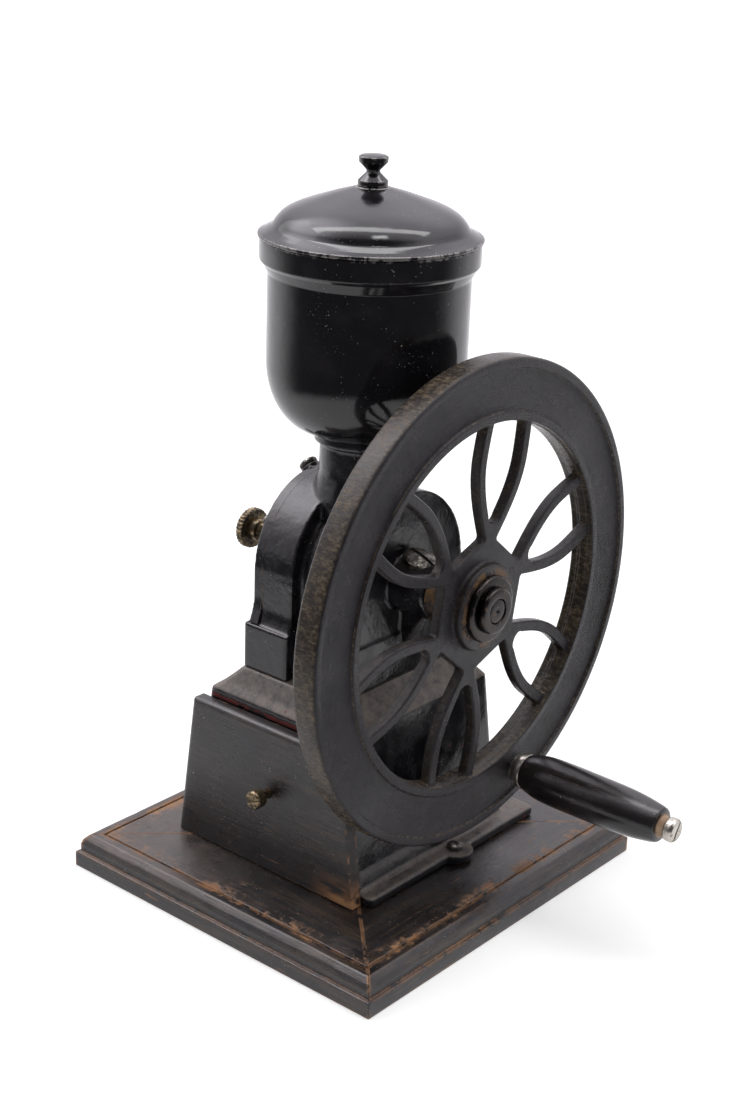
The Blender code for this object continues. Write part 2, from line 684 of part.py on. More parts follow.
# Mill body
def make_mill_body(iron):
    foot = ARCH_FOOT_Z - OVERRUN
    foot_half = FOOT_HALF - FOOT_LEDGE
    bm = prism(arch(ARCH_RADIUS, REAR_ARCH_HALF, foot_half, foot), BODY_REAR_X, REAR_SECTION_X, "YZ")
    body = add_object("mill_body", bm, iron)
    join(body, prism(arch(ARCH_RADIUS, ARCH_RADIUS, foot_half, foot), FRONT_SECTION_X, BODY_FRONT_X, "YZ"))
    waist = arch(WAIST_RADIUS, WAIST_RADIUS, FOOT_WAIST_HALF - FOOT_LEDGE, foot + OVERRUN / 2)
    join(body, prism(waist, REAR_SECTION_X - OVERRUN, FRONT_SECTION_X + OVERRUN, "YZ"))
    # The foot is drawn in between the two sections
    rear_step = REAR_SECTION_X + FOOT_LEDGE
    front_step = FRONT_SECTION_X - FOOT_LEDGE
    steps = [(FOOT_REAR_X, FOOT_HALF), (rear_step, FOOT_HALF), (rear_step, FOOT_WAIST_HALF),
             (front_step, FOOT_WAIST_HALF), (front_step, FOOT_HALF), (BODY_FRONT_X + FOOT_LEDGE, FOOT_HALF)]
    outline = [(x, -half) for x, half in steps] + [(x, half) for x, half in reversed(steps)]
    join(body, prism(outline, FOOT_Z, ARCH_FOOT_Z, "XY"))
    neck_top = NECK_TOP_Z - COLLAR_HEIGHT
    neck = [(0, SHAFT_Z + AUGER_BORE), (NECK_FLARE_RADIUS, SHAFT_Z + AUGER_BORE),
            (NECK_FLARE_RADIUS, NECK_FLARE_Z), (NECK_RADIUS, NECK_FLARE_TOP_Z), (NECK_RADIUS, neck_top),
            (COLLAR_RADIUS - EDGE_EASE, neck_top), (COLLAR_RADIUS, neck_top + EDGE_EASE),
            (COLLAR_RADIUS, NECK_TOP_Z - EDGE_EASE), (COLLAR_RADIUS - EDGE_EASE, NECK_TOP_Z), (0, NECK_TOP_Z)]
    join(body, turned(neck, (NECK_X, 0, 0), sides=LARGE_SIDES))
    boss = [(0, BODY_FRONT_X - OVERRUN), (BOSS_RADIUS, BODY_FRONT_X - OVERRUN),
            (BOSS_RADIUS, BOSS_FRONT_X - EDGE_EASE), (BOSS_RADIUS - EDGE_EASE, BOSS_FRONT_X),
            (0, BOSS_FRONT_X)]
    join(body, turned(boss, SHAFT_LINE, ALONG_X, LARGE_SIDES))
    rib_top = SHAFT_Z - BOSS_RADIUS / 2
    rib = [(BODY_FRONT_X - OVERRUN, RIB_FOOT_Z), (BODY_FRONT_X, RIB_FOOT_Z), (RIB_FRONT_X, rib_top),
           (BODY_FRONT_X - OVERRUN, rib_top)]
    join(body, prism(rib, -RIB_HALF, RIB_HALF, "XZ"))

    # Hollows: burr chamber, chute, auger tube, neck, bearing bore, spot face, screw holes
    cut(body, rod(CHAMBER_RADIUS, BODY_REAR_X - OVERRUN, CHAMBER_FRONT_X, SHAFT_LINE, ALONG_X, LARGE_SIDES))
    cut(body, block((CHUTE_REAR_X, -CHUTE_HALF, FOOT_Z - OVERRUN), (CHUTE_FRONT_X, CHUTE_HALF, ARCH_FOOT_Z)))
    cut(body, rod(AUGER_BORE, CHAMBER_FRONT_X - OVERRUN, AUGER_FRONT_X + GAP, SHAFT_LINE, ALONG_X))
    cut(body, rod(NECK_BORE, NECK_FLOOR_Z, NECK_TOP_Z + OVERRUN, (NECK_X, 0, 0)))
    cut(body, block((THROAT_REAR_X, -THROAT_HALF, SHAFT_Z), (THROAT_FRONT_X, THROAT_HALF,
                                                            NECK_FLOOR_Z + OVERRUN)))
    cut(body, rod(BUSH_RADIUS + GAP, 0, BOSS_FRONT_X + OVERRUN, SHAFT_LINE, ALONG_X))
    seat, lean = plug_seat()
    cut(body, rod(PLUG_RADIUS + GAP, -GAP, BOSS_RADIUS * 2, seat, lean, SMALL_SIDES * 2))
    for y in (-FOOT_BOLT_Y, FOOT_BOLT_Y):
        cut(body, rod(SCREW_SHANK_RADIUS + GAP, FOOT_Z - OVERRUN, FOOT_Z + FOOT_BOLT_BITE + GAP,
                      (FOOT_BOLT_X, y, 0), sides=SMALL_SIDES))
    holes = bmesh.new()
    for y, z in cover_screw_places():
        rod(COVER_SCREW_RADIUS + GAP, BODY_REAR_X - OVERRUN, BODY_REAR_X + COVER_SCREW_BITE, (0, y, z),
            ALONG_X, SMALL_SIDES, holes)
    cut(body, holes)


def cover_screw_places():
    places = []
    for angle in COVER_SCREW_ANGLES:
        turn = math.radians(angle)
        places.append((COVER_SCREW_CIRCLE * math.cos(turn), SHAFT_Z + COVER_SCREW_CIRCLE * math.sin(turn)))
    return places


def make_rear_cover(iron, steel):
    outline = arch(ARCH_RADIUS, REAR_ARCH_HALF, FOOT_HALF - FOOT_LEDGE, ARCH_FOOT_Z + GAP)
    cover = add_object("rear_cover", prism(outline, COVER_REAR_X, COVER_REAR_X + COVER_THICK, "YZ"), iron)
    join(cover, rod(COVER_BOSS_RADIUS, COVER_BOSS_X, COVER_REAR_X + COVER_THICK / 2, SHAFT_LINE, ALONG_X))
    middle, lean = top_pad()
    join(cover, rod(TOP_PAD_RADIUS, 0, TOP_PAD_OUT, middle, lean))
    cut(cover, rod(SHAFT_RADIUS + GAP, COVER_SEAT_X, COVER_REAR_X + COVER_THICK + OVERRUN, SHAFT_LINE,
                   ALONG_X))
    cut(cover, rod(ADJUST_RADIUS + GAP, COVER_BOSS_X - OVERRUN, COVER_SEAT_X + OVERRUN, SHAFT_LINE, ALONG_X))
    holes = bmesh.new()
    for y, z in cover_screw_places():
        rod(COVER_SCREW_RADIUS + GAP, COVER_REAR_X - OVERRUN, COVER_REAR_X + COVER_THICK + OVERRUN,
            (0, y, z), ALONG_X, SMALL_SIDES, holes)
    cut(cover, holes)
    cut(cover, rod(TOP_SCREW_SHANK + GAP, TOP_PAD_OUT - TOP_SCREW_BITE - GAP, TOP_PAD_OUT + OVERRUN,
                   middle, lean, SMALL_SIDES))

    head = COVER_REAR_X - GAP
    end = -BODY_REAR_X - COVER_SCREW_BITE + GAP
    for number, (y, z) in enumerate(cover_screw_places(), 1):
        profile = dome(COVER_SCREW_HEAD_RADIUS, -head, COVER_SCREW_HEAD_HEIGHT - head)
        shank = [(0, end), (COVER_SCREW_RADIUS, end), (COVER_SCREW_RADIUS, -head)]
        bm = turned(shank + profile[1:], (0, y, z), -ALONG_X, SMALL_SIDES)
        screw = add_object(f"cover_screw_{number}", bm, steel)
        top = (head - COVER_SCREW_HEAD_HEIGHT, y, z)
        cut(screw, slot_cutter(top, -ALONG_X, COVER_SCREW_HEAD_RADIUS * 2, SLOT_WIDTH / 2, SLOT_DEPTH / 2,
                               15))

    seat = TOP_PAD_OUT + GAP
    profile = dome(TOP_SCREW_RADIUS, seat, seat + TOP_SCREW_HEIGHT)
    end = TOP_PAD_OUT - TOP_SCREW_BITE
    shank = [(0, end), (TOP_SCREW_SHANK, end), (TOP_SCREW_SHANK, seat)]
    screw = add_object("top_screw", turned(shank + profile[1:], middle, lean), steel)
    top = middle + lean * (seat + TOP_SCREW_HEIGHT)
    cut(screw, slot_cutter(top, lean, TOP_SCREW_RADIUS * 2, SLOT_WIDTH, SLOT_DEPTH, 50))


def top_pad():
    # Where the leaning pad at the cover's crest starts inside the cover, and its direction
    tilt = math.radians(TOP_SCREW_TILT)
    start = Vector((COVER_REAR_X + COVER_THICK / 4, 0, SHAFT_Z + ARCH_RADIUS - TOP_PAD_DROP))
    return start, Vector((-math.sin(tilt), 0, math.cos(tilt)))


def plug_seat():
    lean = math.radians(PLUG_TILT)
    return (PLUG_X, 0, SHAFT_Z + PLUG_SEAT_RISE), Vector((math.sin(lean), 0, math.cos(lean)))


def make_oil_plug(steel):
    seat, lean = plug_seat()
    plug = add_object("oil_plug", turned(dome(PLUG_RADIUS, 0, PLUG_HEIGHT), seat, lean, MEDIUM_SIDES), steel)
    top = Vector(seat) + lean * PLUG_HEIGHT
    cut(plug, slot_cutter(top, lean, PLUG_RADIUS * 2, PLUG_SLOT_WIDTH, SLOT_DEPTH, 90))


# Bearing, burrs and auger
def toothed_ring(outer, inner, flat_x, tooth_x, bm=None):
    # A burr whose face on the tooth_x side has radial teeth
    bm = bm or bmesh.new()
    sides = BURR_TEETH * 2
    sign = 1 if tooth_x > flat_x else -1
    middle = (outer + inner) / 2
    rings = []
    for radius, x, is_face in ((outer, flat_x, False), (outer, tooth_x, True), (middle, tooth_x, True),
                               (inner, tooth_x, False), (inner, flat_x, False)):
        ring = []
        for k in range(sides):
            turn = 2 * math.pi * k / sides
            sink = sign * BURR_TOOTH * (k % 2) if is_face else 0
            ring.append(bm.verts.new((x - sink, radius * math.cos(turn), SHAFT_Z + radius * math.sin(turn))))
        rings.append(ring)
    skin(bm, rings, loop_rings=True)
    return bm


def make_fixed_inside(brass, steel):
    bush = tube(BUSH_RADIUS, SHAFT_RADIUS + GAP, BUSH_REAR_X, BOSS_FRONT_X, SHAFT_LINE, ALONG_X)
    add_object("front_bush", bush, brass)
    fixed = toothed_ring(BURR_RADIUS, AUGER_BORE, FIXED_BURR_X + FIXED_BURR_THICK, FIXED_BURR_X)
    add_object("fixed_burr", fixed, steel)


def make_turning_inside(steel, iron, axis):
    bm = turned([(0, SHAFT_REAR_X), (SHAFT_RADIUS, SHAFT_REAR_X), (SHAFT_RADIUS, SHAFT_FRONT_X - EDGE_EASE),
                 (SHAFT_RADIUS - EDGE_EASE, SHAFT_FRONT_X), (0, SHAFT_FRONT_X)], SHAFT_LINE, ALONG_X)
    add_object("drive_shaft", bm, steel, axis)
    burr = toothed_ring(BURR_RADIUS, SHAFT_RADIUS + GAP, TURNING_BURR_X, TURNING_BURR_X + TURNING_BURR_THICK)
    add_object("turning_burr", burr, steel, axis)

    # The auger is a core whose radius swells along a helix
    length = AUGER_FRONT_X - GAP - AUGER_REAR_X
    bm = bmesh.new()
    rings = []
    steps = SMALL_SIDES
    for i in range(steps + 1):
        share = i / steps
        ring = []
        for k in range(MEDIUM_SIDES):
            turn = 2 * math.pi * k / MEDIUM_SIDES
            wave = math.cos(turn - 2 * math.pi * AUGER_TURNS * share)
            radius = AUGER_CORE + (AUGER_RADIUS - AUGER_CORE) * max(0, wave) ** 2
            ring.append(bm.verts.new((AUGER_REAR_X + length * share, radius * math.cos(turn),
                                      SHAFT_Z + radius * math.sin(turn))))
        rings.append(ring)
    for x in (AUGER_REAR_X + length, AUGER_REAR_X):
        ring = []
        for k in range(MEDIUM_SIDES):
            turn = 2 * math.pi * k / MEDIUM_SIDES
            bore = SHAFT_RADIUS + GAP
            ring.append(bm.verts.new((x, bore * math.cos(turn), SHAFT_Z + bore * math.sin(turn))))
        rings.append(ring)
    skin(bm, rings, loop_rings=True)
    add_object("auger", bm, iron, axis)


# Adjusting screw and the pin that it presses on the shaft
def make_adjuster(brass, steel, axis):
    pin = rod(THRUST_RADIUS, THRUST_X - THRUST_LENGTH, THRUST_X, SHAFT_LINE, ALONG_X, SMALL_SIDES)
    add_object("thrust_pin", pin, steel, axis)
    socket_end = THRUST_X - THRUST_LENGTH - GAP
    hub_x = ADJUST_HEAD_X + ADJUST_HUB_LENGTH
    bore = THRUST_RADIUS + GAP
    profile = [(0, socket_end), (bore, socket_end), (bore, ADJUST_TIP_X), (ADJUST_RADIUS, ADJUST_TIP_X),
               (ADJUST_RADIUS, hub_x), (ADJUST_HUB_RADIUS, hub_x - EDGE_EASE),
               (ADJUST_HUB_RADIUS, ADJUST_HEAD_X), (0, ADJUST_HEAD_X)]
    screw = add_object("adjusting_screw", turned(profile, SHAFT_LINE, ALONG_X, MEDIUM_SIDES), brass, axis)
    bm = bmesh.new()
    rings = []
    head = (ADJUST_HEAD_X - ADJUST_HEAD_THICK, ADJUST_HEAD_X + OVERRUN / 4)
    for x in head:
        ring = []
        for k in range(KNURLS * 2):
            turn = math.pi * k / KNURLS
            radius = ADJUST_HEAD_RADIUS - KNURL_DEPTH * (k % 2)
            ring.append(bm.verts.new((x, radius * math.cos(turn), SHAFT_Z + radius * math.sin(turn))))
        rings.append(ring)
    skin(bm, rings, closed_ends=True)
    join(screw, bm)


# Hopper, sleeve, lid and knob
def bowl_curve(radius, flat_radius, top_z, bottom_z):
    # A quarter ellipse from the straight wall in to the flat round the outlet
    points = []
    for k in range(1, BOWL_STEPS + 1):
        turn = math.pi / 2 * k / BOWL_STEPS
        r = flat_radius + (radius - flat_radius) * math.cos(turn)
        points.append((r, top_z - (top_z - bottom_z) * math.sin(turn)))
    return points


def make_hopper(metal, steel):
    wall = HOPPER_WALL
    hole = NECK_BORE
    outer = [(BAND_RADIUS, HOPPER_TOP_Z), (BAND_RADIUS, BAND_FOOT_Z),
             (BAND_RADIUS - wall, BAND_FOOT_Z - wall), (HOPPER_RADIUS, COVE_FOOT_Z),
             (HOPPER_RADIUS, BOWL_TOP_Z)]
    outer += bowl_curve(HOPPER_RADIUS, HOPPER_FLAT_RADIUS, BOWL_TOP_Z, HOPPER_FLOOR_Z)
    outer.append((hole, HOPPER_FLOOR_Z))
    inner = [(BAND_RADIUS - wall, HOPPER_TOP_Z), (BAND_RADIUS - wall, BAND_FOOT_Z),
             (HOPPER_RADIUS - wall, COVE_FOOT_Z), (HOPPER_RADIUS - wall, BOWL_TOP_Z)]
    inner += bowl_curve(HOPPER_RADIUS - wall, HOPPER_FLAT_RADIUS - wall / 2, BOWL_TOP_Z,
                        HOPPER_FLOOR_Z + wall)
    inner.append((hole, HOPPER_FLOOR_Z + wall))
    place = (NECK_X, 0, 0)
    add_object("hopper", turned(outer + inner[::-1], place, sides=LARGE_SIDES), metal)
    low = HOPPER_FLOOR_Z + wall + GAP
    tube_radius = NECK_BORE - GAP
    bore = tube_radius - SLEEVE_WALL
    profile = [(tube_radius, low - SLEEVE_LENGTH), (tube_radius, low), (SLEEVE_FLANGE_RADIUS, low),
               (SLEEVE_FLANGE_RADIUS, low + SLEEVE_FLANGE_THICK), (bore, low + SLEEVE_FLANGE_THICK),
               (bore, low - SLEEVE_LENGTH)]
    add_object("hopper_sleeve", turned(profile, place, sides=MEDIUM_SIDES), steel)


def lid_dome(radius, low, high):
    # Shoulder turned in steeply, then an almost conical crown
    return [(radius * radius_share, low + (high - low) * rise_share)
            for radius_share, rise_share in LID_DOME_SHARES]


def make_lid(metal, steel, axis):
    rim_top = LID_Z + LID_RIM_THICK
    shoulder_z = LID_Z + LID_SHOULDER_RISE
    wall = LID_WALL
    skirt = BAND_RADIUS - HOPPER_WALL - 2 * GAP
    bore = LID_STUD_RADIUS + GAP
    crown = lid_dome(LID_SHOULDER_RADIUS, shoulder_z, LID_CROWN_Z)
    outer = [(LID_RIM_RADIUS, LID_Z), (LID_RIM_RADIUS, rim_top), (LID_BRIM_RADIUS, LID_Z + LID_BRIM_RISE)]
    outer += crown + [(LID_BUTTON_RADIUS, LID_CROWN_Z), (LID_BUTTON_RADIUS, LID_BUTTON_Z),
                      (bore, LID_BUTTON_Z)]
    under = lid_dome(LID_SHOULDER_RADIUS - wall, shoulder_z - wall, LID_CROWN_Z - wall)
    inner = [(bore, LID_CROWN_Z - wall)] + under[::-1] + [
        (skirt - wall, LID_Z + wall / 2), (skirt - wall, LID_Z - LID_SKIRT_DEPTH),
        (skirt, LID_Z - LID_SKIRT_DEPTH), (skirt, LID_Z)]
    place = (NECK_X, 0, 0)
    add_object("lid", turned(outer + inner, place, sides=LARGE_SIDES), metal, axis)

    low = LID_BUTTON_Z + GAP
    height = LID_KNOB_TOP_Z - low
    stud_foot = LID_CROWN_Z - LID_STUD_DROP
    profile = [(0, stud_foot), (LID_STUD_RADIUS, stud_foot), (LID_STUD_RADIUS, low)]
    profile += [(LID_KNOB_RADIUS * radius_share, low + height * height_share)
                for height_share, radius_share in LID_KNOB_SHARES]
    profile.append((0, LID_KNOB_TOP_Z))
    add_object("lid_knob", turned(profile, place, sides=MEDIUM_SIDES), metal, axis)
    nut_top = LID_CROWN_Z - wall - GAP
    make_nut("lid_nut", LID_NUT_RADIUS, bore, nut_top - LID_NUT_THICK, nut_top, place, ALONG_Z, steel, axis)


# Flywheel
def loop_swell(p):
    # How far a loop has opened, p out from the shaft along its middle
    share = min(1, max(0, (p - LOOP_ROOT_P) / (LOOP_BELLY_P - LOOP_ROOT_P)))
    return math.sin(math.pi / 2 * share)


def loop_half(p):
    # Half the width over a loop's two branches
    past = max(0, (p - LOOP_BELLY_P) / (WINDOW_RIM_RADIUS - LOOP_BELLY_P))
    half = LOOP_ROOT_HALF + (LOOP_BELLY_HALF - LOOP_ROOT_HALF) * loop_swell(p)
    return half - LOOP_RIM_PINCH * past * past


def branch_width(p):
    return BRANCH_WIDTH + BRANCH_ROOT_MORE * (1 - loop_swell(p))


def side_points(first, is_inside):
    # Points up one side of a loop, ending on the windows' rim circle
    points = []
    for k in range(WINDOW_STEPS + 1):
        p = first + (WINDOW_RIM_RADIUS - first) * k / WINDOW_STEPS
        q = loop_half(p) - is_inside * branch_width(p)
        limit = math.sqrt(WINDOW_RIM_RADIUS ** 2 - q ** 2)
        if p < limit:
            points.append((p, q))
    q = loop_half(WINDOW_RIM_RADIUS) - is_inside * BRANCH_WIDTH
    points.append((math.sqrt(WINDOW_RIM_RADIUS ** 2 - q ** 2), q))
    return points


def turned_point(point, angle):
    cosine, sine = math.cos(angle), math.sin(angle)
    return (point[0] * cosine - point[1] * sine, point[0] * sine + point[1] * cosine)


def rim_points(start, end):
    # Points on the rim circle strictly between two of its points
    first = math.atan2(start[1], start[0])
    last = math.atan2(end[1], end[0])
    steps = max(2, round((last - first) / (2 * math.pi / WHEEL_SIDES)))
    return arc((0, 0), WINDOW_RIM_RADIUS, math.degrees(first), math.degrees(last), steps)[1:-1]


def loop_window():
    upper = side_points(WINDOW_ROOT_P, True)
    lower = [(p, -q) for p, q in upper]
    root = upper[0][1]
    end = [(WINDOW_ROOT_P + p * WINDOW_ROOT_SHARE, q) for p, q in arc((0, 0), root, 90, 270, 6)[1:-1]]
    return lower + rim_points(lower[-1], upper[-1]) + upper[::-1] + end


def gap_window():
    half_pitch = math.pi / LOOPS
    side = side_points(LOOP_ROOT_P, False)
    lower = [turned_point(point, -half_pitch) for point in side]
    upper = [(p, -q) for p, q in lower]
    return lower + rim_points(lower[-1], upper[-1]) + upper[::-1]


def make_flywheel(iron, axis):
    sink = WHEEL_FRONT_X - FACE_SINK
    ease = EDGE_EASE
    bore = SHAFT_RADIUS + GAP
    profile = [(bore, HUB_REAR_X), (HUB_RADIUS, HUB_REAR_X), (HUB_RADIUS, WEB_REAR_X),
               (WHEEL_OPENING_RADIUS, WEB_REAR_X), (WHEEL_OPENING_RADIUS, WHEEL_REAR_X),
               (WHEEL_RADIUS - ease, WHEEL_REAR_X), (WHEEL_RADIUS, WHEEL_REAR_X + ease),
               (WHEEL_RADIUS, WHEEL_FRONT_X - ease), (WHEEL_RADIUS - ease, WHEEL_FRONT_X),
               (BEAD_INNER_RADIUS + ease, WHEEL_FRONT_X), (BEAD_INNER_RADIUS, sink), (LIP_OUTER_RADIUS, sink),
               (LIP_OUTER_RADIUS - ease, WHEEL_FRONT_X), (WHEEL_OPENING_RADIUS, WHEEL_FRONT_X),
               (WHEEL_OPENING_RADIUS, WEB_FRONT_X), (HUB_RING_RADIUS + ease, WEB_FRONT_X),
               (HUB_RING_RADIUS, WEB_FRONT_X + ease), (HUB_RING_RADIUS, HUB_RING_X - ease),
               (HUB_RING_RADIUS - ease, HUB_RING_X), (bore, HUB_RING_X)]
    wheel = add_object("flywheel", turned(profile, SHAFT_LINE, ALONG_X, WHEEL_SIDES), iron, axis)
    windows = bmesh.new()
    for k in range(LOOPS):
        middle = math.radians(LOOP_FIRST_ANGLE) + 2 * math.pi * k / LOOPS
        for outline, turn in ((loop_window(), middle), (gap_window(), middle + math.pi / LOOPS)):
            placed = [turned_point(point, turn) for point in outline]
            placed = [(y, SHAFT_Z + z) for y, z in placed]
            prism(placed, WEB_REAR_X - OVERRUN, WEB_FRONT_X + OVERRUN, "YZ", windows)
    cut(wheel, windows)
    cut(wheel, rod(SPINDLE_RADIUS + GAP, WHEEL_REAR_X - OVERRUN, WHEEL_FRONT_X + OVERRUN, GRIP_LINE, ALONG_X,
                   SMALL_SIDES))


def make_hub_fastening(iron, steel, axis):
    bore = SHAFT_RADIUS + GAP
    ease = EDGE_EASE
    low, high = WASHER_X, WASHER_X + WASHER_THICK
    profile = [(bore, low), (WASHER_RADIUS, low), (WASHER_RADIUS, high - ease), (WASHER_RADIUS - ease, high),
               (bore, high)]
    add_object("hub_washer", turned(profile, SHAFT_LINE, ALONG_X, MEDIUM_SIDES), iron, axis)
    low, high = HUB_NUT_X, HUB_NUT_X + HUB_NUT_THICK
    profile = [(bore, low), (HUB_NUT_RADIUS, low), (HUB_NUT_RADIUS, high - ease),
               (HUB_NUT_RADIUS - ease, high), (bore, high)]
    add_object("hub_nut", turned(profile, SHAFT_LINE, ALONG_X, MEDIUM_SIDES), steel, axis)


# Crank grip
def make_handle(wood, nickel, steel, wheel_axis, grip_axis):
    nut_x = WHEEL_REAR_X - GAP - SPINDLE_NUT_THICK
    head_x = SPINDLE_END_X - SPINDLE_HEAD_LENGTH
    profile = [(0, nut_x), (SPINDLE_RADIUS, nut_x), (SPINDLE_RADIUS, head_x), (SPINDLE_HEAD_RADIUS, head_x),
               (SPINDLE_HEAD_RADIUS, SPINDLE_END_X - EDGE_EASE),
               (SPINDLE_HEAD_RADIUS - EDGE_EASE, SPINDLE_END_X), (0, SPINDLE_END_X)]
    spindle = turned(profile, GRIP_LINE, ALONG_X, MEDIUM_SIDES)
    item = add_object("handle_spindle", spindle, steel, wheel_axis)
    top = (SPINDLE_END_X, GRIP_Y, GRIP_Z)
    cut(item, slot_cutter(top, ALONG_X, SPINDLE_HEAD_RADIUS * 2, SLOT_WIDTH, SLOT_DEPTH, 60))
    bore = SPINDLE_RADIUS + GAP
    make_nut("spindle_nut", SPINDLE_NUT_RADIUS, bore, nut_x, nut_x + SPINDLE_NUT_THICK, GRIP_LINE, ALONG_X,
             steel, wheel_axis)

    low, high = FERRULE_X, FERRULE_X + FERRULE_LENGTH
    waist = FERRULE_RADIUS * 0.8
    middle = (low + high) / 2
    profile = [(bore, low), (waist, low), (waist, middle), (FERRULE_RADIUS, middle + EDGE_EASE),
               (FERRULE_RADIUS, high), (bore, high)]
    add_object("handle_ferrule", turned(profile, GRIP_LINE, ALONG_X, MEDIUM_SIDES), nickel, grip_axis)
    length = GRIP_END_X - GRIP_X
    profile = [(bore, GRIP_X)]
    profile += [(GRIP_RADIUS * radius_share, GRIP_X + length * length_share)
                for length_share, radius_share in GRIP_SHARES]
    profile.append((bore, GRIP_END_X))
    add_object("handle_grip", turned(profile, GRIP_LINE, ALONG_X, MEDIUM_SIDES), wood, grip_axis)


def main():
    clear_scene()
    black_wood = make_material("black_wood", (0.022, 0.020, 0.019), 0.45, 0)
    raw_wood = make_material("raw_wood", (0.42, 0.26, 0.13), 0.7, 0)
    black_paint = make_material("black_paint", (0.010, 0.010, 0.011), 0.12, 0)
    black_iron = make_material("black_iron", (0.016, 0.015, 0.016), 0.3, 0)
    wheel_iron = make_material("wheel_iron", (0.045, 0.042, 0.044), 0.45, 0.2)
    steel = make_material("steel", (0.40, 0.36, 0.31), 0.4, 1)
    nickel = make_material("nickel", (0.72, 0.69, 0.63), 0.25, 1)
    brass = make_material("brass", (0.60, 0.44, 0.20), 0.35, 1)

    drawer_axis = make_axis("drawer_slide", (MILL_X, HOUSING_FRONT_Y, HOUSING_Z))
    lid_axis = make_axis("lid_lift", (NECK_X, 0, LID_Z))
    wheel_axis = make_axis("flywheel_turn", SHAFT_LINE)
    grip_axis = make_axis("grip_turn", GRIP_LINE)
    adjust_axis = make_axis("adjuster_turn", (ADJUST_HEAD_X, 0, SHAFT_Z))

    make_base(black_wood)
    make_housing(black_iron)
    make_housing_screws(steel)
    make_foot_bolts(steel)
    make_drawer(black_wood, raw_wood, brass, drawer_axis)
    make_mill_body(black_iron)
    make_rear_cover(black_iron, steel)
    make_oil_plug(steel)
    make_fixed_inside(brass, steel)
    make_turning_inside(steel, black_iron, wheel_axis)
    make_adjuster(brass, steel, adjust_axis)
    make_hopper(black_paint, steel)
    make_lid(black_paint, steel, lid_axis)
    make_flywheel(wheel_iron, wheel_axis)
    make_hub_fastening(wheel_iron, steel, wheel_axis)
    make_handle(black_wood, nickel, steel, wheel_axis, grip_axis)


main()
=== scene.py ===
# %% [markdown]
# # An old hand-cranked coffee mill
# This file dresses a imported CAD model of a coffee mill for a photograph. The CAD gives every
# piece its size and place. Here each piece gets the softer edges, castings, grain and wear
# that the real one shows. Each step starts with a few words on the real thing, the ways
# Blender offers to make it, and why one of them was taken.

# %% Load the CAD model
import math

import bmesh
import bpy
from mathutils import Matrix, Vector, noise


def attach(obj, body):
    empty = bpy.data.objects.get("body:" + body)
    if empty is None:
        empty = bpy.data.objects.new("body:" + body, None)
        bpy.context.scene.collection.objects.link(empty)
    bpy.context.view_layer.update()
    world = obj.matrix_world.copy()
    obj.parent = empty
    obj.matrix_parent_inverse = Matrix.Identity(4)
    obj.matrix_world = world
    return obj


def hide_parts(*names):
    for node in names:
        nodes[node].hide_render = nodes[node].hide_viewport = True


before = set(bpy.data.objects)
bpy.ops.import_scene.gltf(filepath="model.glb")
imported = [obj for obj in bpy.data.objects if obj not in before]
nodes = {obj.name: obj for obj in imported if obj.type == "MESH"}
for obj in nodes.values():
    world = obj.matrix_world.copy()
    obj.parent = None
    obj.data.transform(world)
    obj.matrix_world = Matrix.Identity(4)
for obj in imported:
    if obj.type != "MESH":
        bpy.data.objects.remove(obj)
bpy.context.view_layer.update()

# %% [markdown]
# ## Helpers for shapes
# Most pieces of a mill are turned on a lathe, cast in sand, or sawn from a board. A lathe
# piece is an outline spun round a line, so one function does them all. Shapes are drawn in
# millimetres, because that is how a maker would read them, and are scaled to metres when
# they become objects. Blender could also spin with its Screw modifier, but a plain mesh
# keeps every ring under control.

# %% Outlines
MM = 0.001
ALONG_X = Vector((1, 0, 0))
ALONG_Y = Vector((0, 1, 0))
ALONG_Z = Vector((0, 0, 1))
FINE, ROUND, SMALL = 128, 64, 32


def soften(points, radius, steps=4, closed=False):
    # Round the corners of an outline. A point may carry a radius of its own.
    result = []
    count = len(points)
    for i, point in enumerate(points):
        here = Vector(point[:2])
        reach = point[2] if len(point) > 2 else radius
        is_end = not closed and i in (0, count - 1)
        before = Vector(points[i - 1][:2]) - here
        after = Vector(points[(i + 1) % count][:2]) - here
        if is_end or reach == 0 or before.length < 1e-6 or after.length < 1e-6:
            result.append(tuple(here))
            continue
        angle = before.angle(after)
        if angle > math.radians(172):
            result.append(tuple(here))
            continue
        trim = min(reach / math.tan(angle / 2), before.length * 0.48, after.length * 0.48)
        start = here + before.normalized() * trim
        end = here + after.normalized() * trim
        for k in range(steps + 1):
            t = k / steps
            result.append(tuple(start * (1 - t) ** 2 + here * 2 * t * (1 - t) + end * t * t))
    return result


def arc(centre, radius, first, last, steps):
    points = []
    for k in range(steps + 1):
        turn = math.radians(first + (last - first) * k / steps)
        points.append((centre[0] + radius * math.cos(turn), centre[1] + radius * math.sin(turn)))
    return points


def through(points, steps=6):
    # A smooth Catmull-Rom curve through all of an outline's points
    result = []
    for i in range(len(points) - 1):
        a, b, c, d = (Vector(points[min(max(j, 0), len(points) - 1)]) for j in (i - 1, i, i + 1, i + 2))
        for k in range(steps):
            t = k / steps
            result.append(tuple(0.5 * (2 * b + (c - a) * t + (2 * a - 5 * b + 4 * c - d) * t ** 2
                                       + (3 * b - a - 3 * c + d) * t ** 3)))
    return result + [tuple(points[-1])]


# %% Solids from outlines
def aim(place, direction):
    return Matrix.Translation(place) @ Vector(direction).to_track_quat("Z", "Y").to_matrix().to_4x4()


def skin(bm, rings, caps=False, closed=False):
    pairs = list(zip(rings, rings[1:]))
    if closed:
        pairs.append((rings[-1], rings[0]))
    for low, high in pairs:
        for i in range(len(low)):
            j = (i + 1) % len(low)
            bm.faces.new((low[i], low[j], high[j], high[i]))
    if caps:
        bm.faces.new(rings[0])
        bm.faces.new(rings[-1])


